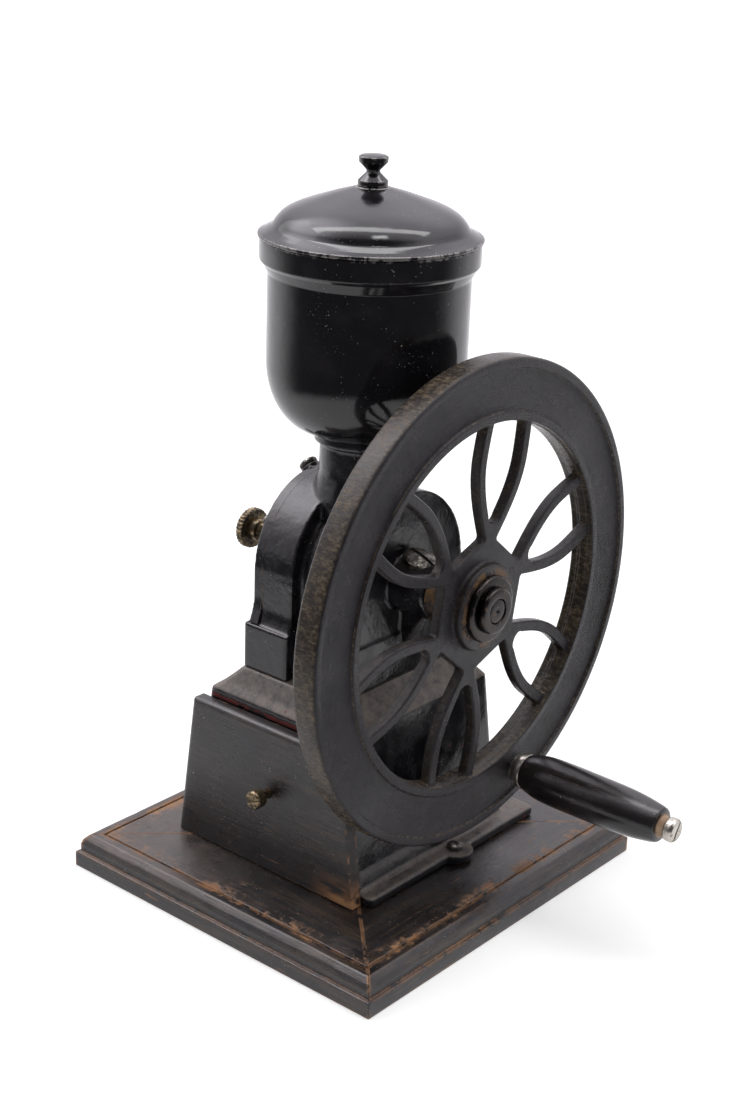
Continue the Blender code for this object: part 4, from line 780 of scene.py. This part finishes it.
# %% Drawer front and tray
FACE, FRONT_REAR, FRONT_TOP = -64.3, -57.3, 96.5
FRONT_FOOT_HALF, FRONT_TOP_HALF = 59.2, 49.2
PULL = (-4.5, 0, 61.2)


def corner_rub(tree):
    # Bare wood at the front's lower right corner, where fingers and damp took the paint
    parts = parts_of(tree)
    return times(tree, ramp(tree, parts["X"], 0.022, 0.044), ramp(tree, parts["Z"], 0.036, 0.020),
                 spots(tree, 5, 0.35, 0.55, (0.3, 1, 1), detail=6, seed=12))


drawer_paint = painted_wood("drawer_paint", "X", 0.12, gloss=0.24, grain_depth=0.2, extra=corner_rub)
section = soften([(FACE, HOUSING_Z, 0.8), (FRONT_REAR, HOUSING_Z, 0.3), (FRONT_REAR, FRONT_TOP, 0.6),
                  (FACE, FRONT_TOP, 5.4)], 0.5, 8, closed=True)
bm = bmesh.new()
rings = []
for share in [-1.0, -0.985] + [-0.96 + 0.08 * k for k in range(25)] + [0.985, 1.0]:
    ease = max(0.0, abs(share) - 0.98) * 30
    ring = []
    for y, z in section:
        rise = (z - HOUSING_Z) / (FRONT_TOP - HOUSING_Z)
        half = FRONT_FOOT_HALF + (FRONT_TOP_HALF - FRONT_FOOT_HALF) * rise
        spot = (MILL_X + share * half, max(y, FACE + ease), min(z, FRONT_TOP - ease * 0.5))
        ring.append(bm.verts.new(spot))
    rings.append(ring)
skin(bm, rings, caps=True)
front = make_object("drawer_front_piece", bm)
combine(front, [rod(2.7, -70, -50, PULL, ALONG_Y, SMALL)], "DIFFERENCE")
dress(front, drawer_paint, "drawer", ["drawer_front"])

tray_wood_y = bare_wood("tray_wood_y", "Y")
tray_wood_x = bare_wood("tray_wood_x", "X")
for name, finish in (("drawer_left_side", tray_wood_y), ("drawer_right_side", tray_wood_y),
                     ("drawer_bottom", tray_wood_y), ("drawer_back", tray_wood_x),
                     ("base_panel", black_base_y)):
    nodes[name].data.materials[0] = finish

# %% Drawer pull
PULL_TIP = -75.6
knob_profile = soften([(0, -52.8, 0), (2.4, -52.8, 0.3), (2.4, -69.3, 0.2), (4.3, -69.3, 0.4),
                       (4.8, -70.4, 0.5), (4.8, -74.2, 0.8), (4.1, PULL_TIP, 0.6), (0, PULL_TIP, 0)], 0.3)
knob = make_object("drawer_knob_piece", spin(knob_profile, PULL, ALONG_Y, 48))
cut_slot(knob, aim((PULL[0], PULL_TIP, PULL[2]), -ALONG_Y), 10, 1.4, 1.4, 25)
round_edges(knob, 0.2, 2, 45)
dress(knob, brass, "drawer", ["drawer_knob"])


# %% [markdown]
# ## The mill's body
# The body is one casting: a rear section that holds the burrs, a narrower waist, a front
# section, a wide foot, the neck for the hopper, and the bearing boss with its rib. The
# shapes are joined, the rough hollows are cut, and the whole is melted into one soft skin.
# The bores that a machinist would make are cut afterwards, so that they stay crisp.

# %% Body casting
NECK_X = -4.4
BODY_REAR, BODY_FRONT = -29.7, 25.0
REAR_ARCH = (45, 43.4, 46.9)


def arch(radius, half, foot_half, foot):
    points = [(y * half / radius, z) for y, z in arc((0, SHAFT.z), radius, 0, 180, 48)]
    side = []
    for k in range(7):
        drop = k / 6
        side.append((half + (foot_half - half) * drop ** 1.6, foot + 13 * (1 - drop)))
    return points + [(-y, z) for y, z in side] + side[::-1]


body = make_object("mill_body_piece", prism(arch(*REAR_ARCH, 134), BODY_REAR - 3, -10, "YZ"))
half_foot = [(-38.5, -47.5), (-9.4, -47.5), (-9.4, -40), (11.4, -40), (11.4, -47.5), (25.6, -47.5)]
foot = soften(half_foot + [(x, -y) for x, y in half_foot[::-1]], 2.0, 4, closed=True)
neck = soften([(0, 181.5), (24.8, 181.5), (24.8, 202, 3), (21.6, 215, 6), (21.6, 230.5, 1.5),
               (24.5, 230.5, 0.8), (24.5, 236, 0.9), (0, 236)], 1.0, 5)
boss = soften([(0, 21), (14.5, 21), (14.5, 48, 1.4), (0, 48)], 1.0)
rib = [(21, 128), (25, 128), (44, 157.7), (21, 157.7)]
combine(body, [prism(arch(45, 45, 46.9, 134), 12, BODY_FRONT, "YZ"),
               prism(arch(37, 37, 39.4, 136), -14, 16, "YZ"), prism(foot, 114.3, 138, "XY"),
               spin(neck, (NECK_X, 0, 0), sides=96), spin(boss, SHAFT, ALONG_X, 72),
               prism(rib, -3.2, 3.2, "XZ")], "UNION", "MANIFOLD")
combine(body, [rod(36.5, -40, -12, SHAFT, ALONG_X, 96), block((*CHUTE_LOW, 108), (*CHUTE_HIGH, 138)),
               rod(16.5, -16, 15.8, SHAFT, ALONG_X, 64), rod(16.8, 206, 240, (NECK_X, 0, 0), sides=64),
               block((-7.5, -12, 165), (11.5, 12, 210))], "DIFFERENCE", "MANIFOLD")
melt(body, 0.8, 5, 0.32)

# %% Machined bores
PLUG_SEAT = Vector((34, 0, 176.6))
PLUG_LEAN = Vector((math.sin(math.radians(20)), 0, math.cos(math.radians(20))))
COVER_SCREW_REACH = 40.2
COVER_SPOTS = [arc((0, SHAFT.z), COVER_SCREW_REACH, a, a, 1)[0] for a in (35, 145, 215, 325)]
bores = [rod(7.7, 10, 52, SHAFT, ALONG_X, 48), rod(9.7, -0.3, 29, PLUG_SEAT, PLUG_LEAN, 48),
         block((-60, -60, 138.15), (BODY_REAR - 0.1, 60, 214))]
bores += [rod(2.1, 110, 126.6, (x, y, 0), sides=SMALL) for x, y in BOLT_SPOTS]
bores += [rod(1.6, -34, -22.7, (0, y, z), ALONG_X, 24) for y, z in COVER_SPOTS]
combine(body, bores, "DIFFERENCE", "MANIFOLD")
dress(body, body_paint, "stand", ["mill_body"])

# %% Rear cover
COVER_REAR, COVER_FRONT = -35.5, -30.0
PAD_START = Vector((COVER_REAR + 1.4, 0, 203.2))
PAD_LEAN = Vector((-math.sin(math.radians(45)), 0, math.cos(math.radians(45))))
cover = make_object("rear_cover_piece", prism(arch(*REAR_ARCH, 138.3), COVER_REAR, COVER_FRONT + 3, "YZ"))
boss = soften([(0, -33), (12.6, -35.4), (12.1, -38.5, 2), (12, -52, 1.6), (0, -52)], 1.0)
pad = soften([(0, 0), (5.3, 0), (5.0, 7.6, 0.6), (0, 7.6)], 0.5)
combine(cover, [spin(boss, SHAFT, ALONG_X, 72), spin(pad, PAD_START, PAD_LEAN, 48)], "UNION", "MANIFOLD")
melt(cover, 0.6, 4, 0.35)
cuts = [rod(6.3, -42, -20, SHAFT, ALONG_X, 48), rod(4.3, -56, -38, SHAFT, ALONG_X, 48),
        rod(1.7, 2.3, 11.6, PAD_START, PAD_LEAN, 24), block((COVER_FRONT + 0.05, -60, 130), (0, 60, 220))]
cuts += [rod(1.6, -40, -26, (0, y, z), ALONG_X, 24) for y, z in COVER_SPOTS]
combine(cover, cuts, "DIFFERENCE", "MANIFOLD")
dress(cover, body_paint, "stand", ["rear_cover"])

# %% Screws of the cover and the oil plug
for number, ((y, z), turn) in enumerate(zip(COVER_SPOTS, (15, 70, 40, 100)), 1):
    screw(f"cover_screw_{number}", 3.2, 2.2, 1.3, 12.8, -COVER_REAR + 0.3, (0, y, z), -ALONG_X, 0.8, turn,
          dark_steel)
screw("top_screw", 4.8, 3.2, 1.4, 5.2, 7.9, PAD_START, PAD_LEAN, 1.3, 50, dark_steel)
screw("oil_plug", 9.4, 4.0, 9.4, 0.01, 0.01, PLUG_SEAT, PLUG_LEAN, 2.3, 90, plug_steel)


# %% [markdown]
# ## The adjusting screw
# A brass screw through the cover's boss pushes the shaft forward and so sets the grind. Its
# knurled head is turned by hand. The thread is a surface whose radius rises and falls once
# per turn along a helix, which needs no screw modifier and stays a closed mesh. One turn
# moves it one millimetre, as the joint in the record does.

# %% Thread and knurled head
THREAD_RADIUS, PITCH, THREAD_SIDES = 4.0, 1.0, 40
THREAD_TIP, THREAD_END = 43.9, 73.0
thread_rows = round((THREAD_END - THREAD_TIP) / PITCH * 6)
bm = bmesh.new()
rings = []
for row in range(thread_rows + 1):
    x = -THREAD_TIP - (THREAD_END - THREAD_TIP) * row / thread_rows
    ring = []
    for k in range(THREAD_SIDES):
        phase = (x / PITCH + k / THREAD_SIDES) % 1.0
        radius = THREAD_RADIUS - 0.55 * abs(2 * phase - 1) if -72.0 < x < -50 else THREAD_RADIUS - 0.3
        turn = 2 * math.pi * k / THREAD_SIDES
        ring.append(bm.verts.new((x, radius * math.cos(turn), SHAFT.z + radius * math.sin(turn))))
    rings.append(ring)
skin(bm, rings, caps=True)
adjuster = make_object("adjusting_screw_piece", bm)

bm = bmesh.new()
rings = []
KNURLS = 30
for x, radius, depth in ((-76.3, 9.9, 0.0), (-76.6, 10.4, 0.35), (-77.0, 10.6, 0.6), (-80.0, 10.6, 0.6),
                         (-80.35, 10.3, 0.35), (-80.5, 9.7, 0.0)):
    ring = []
    for k in range(KNURLS * 8):
        turn = 2 * math.pi * k / (KNURLS * 8)
        wave = 0.5 + 0.5 * math.cos(turn * KNURLS)
        r = radius - depth * (1 - wave ** 0.7)
        ring.append(bm.verts.new((x, r * math.cos(turn), SHAFT.z + r * math.sin(turn))))
    rings.append(ring)
skin(bm, rings, caps=True)
hub = soften([(0, -72.4), (5.2, -72.4, 0.5), (5.8, -74.0, 0.8), (5.8, -77, 0), (0, -77)], 0.4)
combine(adjuster, [bm, spin(hub, SHAFT, ALONG_X, 48)], "UNION")
combine(adjuster, [rod(2.3, -53, -30, SHAFT, ALONG_X, 32)], "DIFFERENCE")
dress(adjuster, brass, "adjuster", ["adjusting_screw"])


# %% [markdown]
# ## The hopper and its lid
# Both are spun sheet metal: a sheet pressed over a turning form, so every section is a
# circle and every bend is round. Spinning an outline with softened corners is the same
# thing. The hopper is a bowl, a straight wall and a wider band; the lid has a flat rim, a
# step, a dome and a turned knob.

# %% Hopper
def bowl(radius, flat, top, bottom, steps=20):
    points = []
    for k in range(1, steps + 1):
        turn = math.pi / 2 * k / steps
        points.append((flat + (radius - flat) * math.cos(turn), top - (top - bottom) * math.sin(turn), 0))
    return points


outer = [(52.3, 329.0, 0.7), (52.3, 318.8, 1.6), (50.7, 317.0, 1.2), (48.3, 312.5, 3.0), (48.3, 270.0, 0)]
outer += bowl(48.3, 25.0, 270.0, 236.3) + [(16.8, 236.3, 0.4)]
inner = [(16.8, 237.7, 0.4)] + bowl(46.9, 24.3, 270.0, 237.7)[::-1]
inner += [(46.9, 270.0, 0), (46.9, 312.9, 3.0), (49.5, 317.2, 1.2), (50.9, 319.2, 1.6), (50.9, 329.0, 0.7)]
neck_line = ((NECK_X, 0, 0), ALONG_Z)
turned("hopper", soften(outer + inner, 0.6, 5, closed=True), neck_line, FINE, hopper_enamel, "stand")

# %% Lid
LID_Z, CROWN, SHEET = 329.3, 352.8, 1.3
dome = through([(50.4, 332.0), (47.3, 334.0), (46.2, 335.2), (44.6, 337.5), (42.0, 340.2), (38.0, 342.7),
                (33.0, 344.9), (26.0, 347.4), (18.0, 350.1), (12.0, 351.8), (8.4, CROWN)], 5)
top = [(53.2, LID_Z, 0.6), (53.2, 330.8, 0.7)] + [(r, z, 0) for r, z in dome]
top += [(7.6, CROWN, 0.3), (7.6, CROWN + 0.4, 0.3), (2.3, CROWN + 0.4, 0.2)]
under = [(2.3, CROWN - SHEET, 0.2)] + [(r - SHEET, z - SHEET, 0) for r, z in dome[:4:-1]]
under += [(49.0, 329.9, 0.8), (49.0, 323.3, 0.2), (50.3, 323.3, 0.2), (50.3, LID_Z, 0.3)]
turned("lid", soften(top + under, 0.5, 5, closed=True), neck_line, FINE, lid_enamel, "lid")

KNOB_FOOT, KNOB_TOP, KNOB_RADIUS = 353.5, 368.0, 7.1
KNOB_SHARES = [(0.00, 1.00, 0.3), (0.17, 1.00, 0.5), (0.42, 0.47, 1.0), (0.49, 0.44, 1.0), (0.75, 0.96, 0.7),
               (0.92, 0.98, 0.4), (0.97, 0.80, 1.5), (0.995, 0.40, 2.0)]
profile = [(0, 346.8, 0), (2, 346.8, 0.3), (2, KNOB_FOOT, 0.1)]
profile += [(KNOB_RADIUS * radius, KNOB_FOOT + (KNOB_TOP - KNOB_FOOT) * height, ease)
            for height, radius, ease in KNOB_SHARES] + [(0, KNOB_TOP)]
turned("lid_knob", soften(profile, 0.8, 4), neck_line, ROUND, knob_enamel, "lid", 50)


# %% [markdown]
# ## The flywheel
# The wheel is one iron casting: a deep rim with a bead round its face, a thin web that has
# been opened into six loop spokes, and a hub. The rim and hub are turned from one outline.
# The openings are cut through the web with rounded corners, and the cutters flare towards both faces, which
# softens the spokes' edges.

# %% Wheel outline and openings
RIM, OPENING, WEB_REAR, WEB_FRONT, WHEEL_FRONT = 120.2, 90.3, 65.5, 71.3, 73.5
WINDOW_RIM, ROOT_P, BELLY_P, WINDOW_ROOT, LOOPS = 89.6, 32.5, 72.6, 44.3, 6
ROOT_HALF, BELLY_HALF, BRANCH = 4.6, 18.9, 5.9


def loop_swell(p):
    return math.sin(math.pi / 2 * min(1, max(0, (p - ROOT_P) / (BELLY_P - ROOT_P))))


def side_points(first, is_inside, corner, steps=18):
    # One side of a loop, p out from the shaft and q across, inside or outside its branch
    def half(p):
        past = max(0, (p - BELLY_P) / (WINDOW_RIM - BELLY_P))
        branch = BRANCH + 0.8 * (1 - loop_swell(p)) if is_inside else 0
        return ROOT_HALF + (BELLY_HALF - ROOT_HALF) * loop_swell(p) - 0.9 * past * past - branch

    points = []
    for k in range(steps + 1):
        p = first + (WINDOW_RIM - first) * k / steps
        if p < math.sqrt(WINDOW_RIM ** 2 - half(p) ** 2) - 1:
            points.append((p, half(p)))
    q = half(WINDOW_RIM)
    points.append((math.sqrt(WINDOW_RIM ** 2 - q ** 2), q, corner))
    return points


def turned_point(point, angle):
    c, s = math.cos(angle), math.sin(angle)
    return (point[0] * c - point[1] * s, point[0] * s + point[1] * c, *point[2:])


def rim_points(start, end):
    first, last = (math.degrees(math.atan2(p[1], p[0])) for p in (start, end))
    return arc((0, 0), WINDOW_RIM, first, last, max(4, round((last - first) / 3)))[1:-1]


def window_outlines():
    upper = side_points(WINDOW_ROOT, True, 3.2)
    lower = [(p[0], -p[1], *p[2:]) for p in upper]
    loop = lower + rim_points(lower[-1], upper[-1]) + upper[::-1]
    loop += [(WINDOW_ROOT + p * 0.8, q) for p, q in arc((0, 0), upper[0][1], 90, 270, 10)[1:-1]]
    side = side_points(ROOT_P, False, 2.0)
    side[0] = (*side[0][:2], 2.4)
    low = [turned_point(point, -math.pi / LOOPS) for point in side]
    high = [(p[0], -p[1], *p[2:]) for p in low]
    gap = low + rim_points(low[-1], high[-1]) + high[::-1]
    return loop, gap


SHAFT_BORE, RIM_REAR, FACE_FLOOR, HUB_RADIUS, HUB_FRONT = 6.3, 60.4, 72.2, 21.5, 75.5
profile = [(SHAFT_BORE, 48.5, 0.2), (15, 48.5, 1.0), (15, WEB_REAR, 2.0), (OPENING, WEB_REAR, 1.6),
           (OPENING, RIM_REAR, 1.4), (RIM, RIM_REAR, 1.8), (RIM, WHEEL_FRONT, 2.0), (115.4, WHEEL_FRONT, 1.4),
           (115.0, FACE_FLOOR, 0.8), (95.2, FACE_FLOOR, 0.8), (94.6, WHEEL_FRONT, 1.0),
           (OPENING, WHEEL_FRONT, 1.3), (OPENING, WEB_FRONT, 0.9), (HUB_RADIUS, WEB_FRONT, 1.6),
           (HUB_RADIUS, HUB_FRONT, 1.3), (SHAFT_BORE, HUB_FRONT, 0.2)]
wheel = make_object("flywheel_piece", spin(soften(profile, 1.0, 4, closed=True), SHAFT, ALONG_X, 144))

# %% Cutters that leave rounded spokes
SPOKE_EASE = 1.3


def widened(outline, by):
    # Push an outline out square to itself, but not into the rim
    area = sum(a[0] * b[1] - b[0] * a[1] for a, b in zip(outline, outline[1:] + outline[:1]))
    side = math.copysign(by, area)
    moved = []
    for i, point in enumerate(outline):
        along = (Vector(outline[(i + 1) % len(outline)]) - Vector(outline[i - 1])).normalized()
        spot = Vector(point) + side * Vector((along.y, -along.x))
        moved.append(spot * min(1, (OPENING - 0.15) / spot.length))
    return moved


def window_cutter(outline, turn):
    # It flares towards both faces of the web, so the spoke that is left has round edges
    outline = soften([turned_point(point, turn) for point in outline], 0, 6, closed=True)
    levels = []
    for k in range(6):
        angle = math.pi / 2 * (1 - k / 5)
        levels.append((SPOKE_EASE * (1 - math.sin(angle)), SPOKE_EASE * (1 - math.cos(angle))))
    stations = [(WEB_REAR - 3, SPOKE_EASE)] + [(WEB_REAR + depth, grow) for depth, grow in levels]
    stations += [(WEB_FRONT - depth, grow) for depth, grow in levels[::-1]] + [(WEB_FRONT + 3, SPOKE_EASE)]
    bm = bmesh.new()
    skin(bm, [[bm.verts.new((x, spot.x, SHAFT.z + spot.y)) for spot in widened(outline, grow)]
              for x, grow in stations], caps=True)
    return bm


windows = []
for k in range(LOOPS):
    middle = math.radians(20) + 2 * math.pi * k / LOOPS
    for outline, turn in zip(window_outlines(), (middle, middle + math.pi / LOOPS)):
        windows.append(window_cutter(outline, turn))
GRIP = Vector((0, 35.741, 66.802))
GRIP_BORE = 3.3
windows.append(rod(GRIP_BORE, 50, 80, GRIP, ALONG_X, SMALL))
combine(wheel, windows, "DIFFERENCE", "MANIFOLD")
dress(wheel, wheel_finish, "wheel", ["flywheel"], 40)

# %% Washer, nut and shaft end
shaft_line = (SHAFT, ALONG_X)
washer = [(SHAFT_BORE, 75.8, 0.1), (16.5, 75.8, 0.3), (16.5, 78.6, 1.6), (SHAFT_BORE, 78.6, 0.3)]
turned("hub_washer", soften(washer, 0.3, 5, closed=True), shaft_line, ROUND, rusty_steel, "wheel")
nut = [(SHAFT_BORE, 78.9, 0.1), (11.5, 78.9, 0.3), (11.5, 81.9, 1.4), (SHAFT_BORE, 81.9, 0.5)]
turned("hub_nut", soften(nut, 0.3, 5, closed=True), shaft_line, 48, rusty_steel, "wheel")
shaft = [(0, -40, 0), (6, -40, 0.4), (6, 81.6, 0.8), (1.6, 81.6, 0.2), (0, 80.4, 0)]
turned("drive_shaft", soften(shaft, 0.3), shaft_line, 48, rusty_steel, "wheel")


# %% [markdown]
# ## The crank grip
# The grip is turned wood, painted black, loose on a steel spindle. A nickel ferrule sits at
# its inner end. At the outer end the wood is turned down to a bare collar, and the
# spindle's round head holds everything on. The outline's points are joined by a smooth
# curve through all of them, as a turner's chisel would.

# %% Grip, ferrule and spindle
def grip_paint():
    # Painted wood that is bare on the end collar
    def collar(tree):
        return ramp(tree, parts_of(tree)["X"], 0.1601, 0.1605)
    return painted_wood("grip_paint", "X", 0.03, gloss=0.12, grain_depth=0.08, extra=collar,
                        under=((0.46, 0.31, 0.21), (0.24, 0.15, 0.09)))


GRIP_START, GRIP_LENGTH, GRIP_RADIUS = 81.1, 82.1, 12
GRIP_SHARES = [(0.00, 0.74), (0.008, 0.77), (0.03, 0.82), (0.06, 0.87), (0.12, 0.95), (0.20, 0.99),
               (0.32, 1.00), (0.50, 0.99), (0.66, 0.97), (0.78, 0.92), (0.88, 0.83), (0.935, 0.76),
               (0.957, 0.69), (0.964, 0.52), (0.972, 0.42), (1.00, 0.39)]
grip_line = (GRIP, ALONG_X)
profile = [(GRIP_RADIUS * min(r, 1.0), GRIP_START + GRIP_LENGTH * along) for along, r in through(GRIP_SHARES)]
profile = [(GRIP_BORE, GRIP_START)] + profile + [(GRIP_BORE, 163.2)]
turned("handle_grip", profile, grip_line, ROUND, grip_paint(), "grip")

ferrule = [(GRIP_BORE, 73.8, 0.1), (7.2, 73.8, 0.4), (7.1, 75.4, 0.8), (7.6, 76.2, 0.8), (8.8, 77.3, 0.9),
           (9.0, 79.0, 0.8), (9.0, 80.8, 0.4), (GRIP_BORE, 80.8, 0.1)]
turned("handle_ferrule", soften(ferrule, 0.3, 4, closed=True), grip_line, ROUND, nickel, "grip")

HEAD_FRONT = 168.5
spindle = [(0, 56.1, 0), (3, 56.1, 0.3), (3, 163.5, 0.1), (5.6, 163.5, 0.4), (6.0, 164.3, 0.5),
           (6.0, 167.2, 1.0), (4.9, HEAD_FRONT, 0.8), (0, HEAD_FRONT, 0)]
item = make_object("handle_spindle_piece", spin(soften(spindle, 0.3, 5), *grip_line, 48))
cut_slot(item, aim(GRIP + Vector((HEAD_FRONT, 0, 0)), ALONG_X), 12, 1.3, 1.2, 60)
round_edges(item, 0.2, 2, 45)
dress(item, nickel, "wheel", ["handle_spindle"], 40)


# %% [markdown]
# ## Pieces that keep their CAD shape
# The burrs, auger, bush, bolts and nuts sit inside or behind other pieces. Their CAD shapes
# are right as they are, so they only take a finish.

# %% Finishes for the inside pieces
for name, finish in (("fixed_burr", bare_iron), ("turning_burr", bare_iron), ("auger", bare_iron),
                     ("front_bush", brass), ("thrust_pin", steel), ("hopper_sleeve", steel),
                     ("lid_nut", steel), ("drawer_knob_nut", brass), ("foot_bolt_front", steel),
                     ("foot_bolt_rear", steel),
                     ("spindle_nut", rusty_steel)):
    nodes[name].data.materials[0] = finish


# %% [markdown]
# ## Floor, light and camera
# The photograph is a plain studio shot: white all round, a broad soft light from the upper
# left, and a shadow on the white floor. The camera sees plain white. Black paint, though,
# shows mostly what it mirrors, so reflections see a studio: a bright ceiling with one glow
# in it, a dark room behind the camera, and a floor that darkens towards that room. All
# other light from the world is half as strong. The camera's place was found by laying the
# CAD's edges over the photograph, so its numbers look odd but fit.

# %% Floor
TOWARDS_CAMERA = (0.64, -0.77, 0.0)
COOL = (1.0, 0.965, 1.035)
material, tree, shader = new_finish("floor_white")
rays = add_node(tree, "ShaderNodeLightPath").outputs
seen = maths(tree, "ADD", rays["Is Camera Ray"], rays["Is Glossy Ray"], rays["Is Transmission Ray"])
spot = add_node(tree, "ShaderNodeNewGeometry").outputs["Position"]
far = vector_maths(tree, "LENGTH", spot)
way = add_node(tree, "ShaderNodeVectorMath", {0: spot}, operation="NORMALIZE").outputs["Vector"]
ahead = vector_maths(tree, "DOT_PRODUCT", way, TOWARDS_CAMERA)
# In reflections the floor ends in the dark room behind the camera
mirrored_end = times(tree, ramp(tree, far, 0.40, 0.60), ramp(tree, ahead, -0.50, 0.22), rays["Is Glossy Ray"])
white = mixed(tree, spots(tree, 900, 0.3, 0.7), (0.81, 0.81, 0.815), (0.83, 0.83, 0.83))
own_light = blended(tree, mirrored_end, ramp(tree, far, 0.20, 2.20, 0.41, 0.66), 0.04)
plug(tree, shader, base_color=mixed(tree, mirrored_end, white, (0.02, 0.02, 0.02)), roughness=0.9,
     emission_color=mixed(tree, rays["Is Glossy Ray"], (1.0, 1.0, 1.0), COOL),
     emission_strength=times(tree, seen, own_light))
bm = bmesh.new()
bmesh.ops.create_grid(bm, x_segments=8, y_segments=8, size=6000)
floor = make_object("floor", bm)
floor.data.materials.append(material)

# %% World
GLOW = (-0.62, -0.14, 0.77)
world = bpy.data.worlds.new("studio")
bpy.context.scene.world = world
world.use_nodes = True
tree = world.node_tree
background = tree.nodes["Background"]
rays = add_node(tree, "ShaderNodeLightPath").outputs
way = add_node(tree, "ShaderNodeTexCoord").outputs["Generated"]
rise = parts_of(tree, "Generated")["Z"]
ahead = vector_maths(tree, "DOT_PRODUCT", way, TOWARDS_CAMERA)
ceiling = blended(tree, ramp(tree, rise, 0.30, 0.75), 1.0, 2.0)
near_glow = vector_maths(tree, "DOT_PRODUCT", way, GLOW)
room = blended(tree, ramp(tree, ahead, 0.10, 0.50), ceiling, 0.08)
mirrored = blended(tree, ramp(tree, near_glow, 0.86, 0.99), room, 4.5)
seen = blended(tree, rays["Is Glossy Ray"], 0.50, mirrored)
direct = maths(tree, "ADD", rays["Is Camera Ray"], rays["Is Transmission Ray"])
tree.links.new(blended(tree, direct, seen, 1.0), background.inputs["Strength"])
tree.links.new(mixed(tree, rays["Is Glossy Ray"], (1.0, 1.0, 1.0), COOL), background.inputs["Color"])


# %% Lamps
def lamp(name, spot, target, size, power):
    data = bpy.data.lights.new(name, "AREA")
    data.shape = "RECTANGLE"
    data.size, data.size_y = size
    data.energy = power
    item = bpy.data.objects.new(name, data)
    item.location = spot
    item.rotation_euler = (Vector(target) - Vector(spot)).to_track_quat("-Z", "Y").to_euler()
    bpy.context.collection.objects.link(item)
    return item


top_light = lamp("top_light", (-0.10, 0.12, 1.55), (-0.10, 0.12, 0), (2.1, 0.34), 12)
top_light.rotation_euler.z = math.radians(40)
lamp("left_light", (-1.5, -0.5, 1.0), (0, 0, 0.15), (1.6, 1.6), 6)
lamp("right_light", (1.3, 0.3, 0.9), (0, 0, 0.15), (0.7, 0.7), 2.5)
lamp("window_light", (0.39, -0.24, 1.5), (0, 0, 0.33), (0.26, 0.13), 1.2)


# %% Camera
camera_data = bpy.data.cameras.new("camera")
SENSOR, FOCAL_PIXELS, FRAME_PIXELS = 36, 1899.85, 1100
CAMERA_SPOT = (0.5634, -0.6756, 0.5087)
camera_data.sensor_width = SENSOR
camera_data.sensor_fit = "AUTO"
camera_data.lens = FOCAL_PIXELS / FRAME_PIXELS * SENSOR
camera = bpy.data.objects.new("camera", camera_data)
bpy.context.collection.objects.link(camera)
YAW, PITCH, ROLL = math.radians(39.823), math.radians(20.841), math.radians(2.077)
look = Vector((-math.sin(YAW) * math.cos(PITCH), math.cos(YAW) * math.cos(PITCH), -math.sin(PITCH)))
level = look.cross(ALONG_Z).normalized()
rise = level.cross(look)
right = math.cos(ROLL) * level + math.sin(ROLL) * rise
up = math.cos(ROLL) * rise - math.sin(ROLL) * level
camera.matrix_world = Matrix.LocRotScale(CAMERA_SPOT, Matrix((right, up, -look)).transposed(), None)
bpy.context.scene.camera = camera
bpy.context.scene.view_settings.view_transform = "Standard"
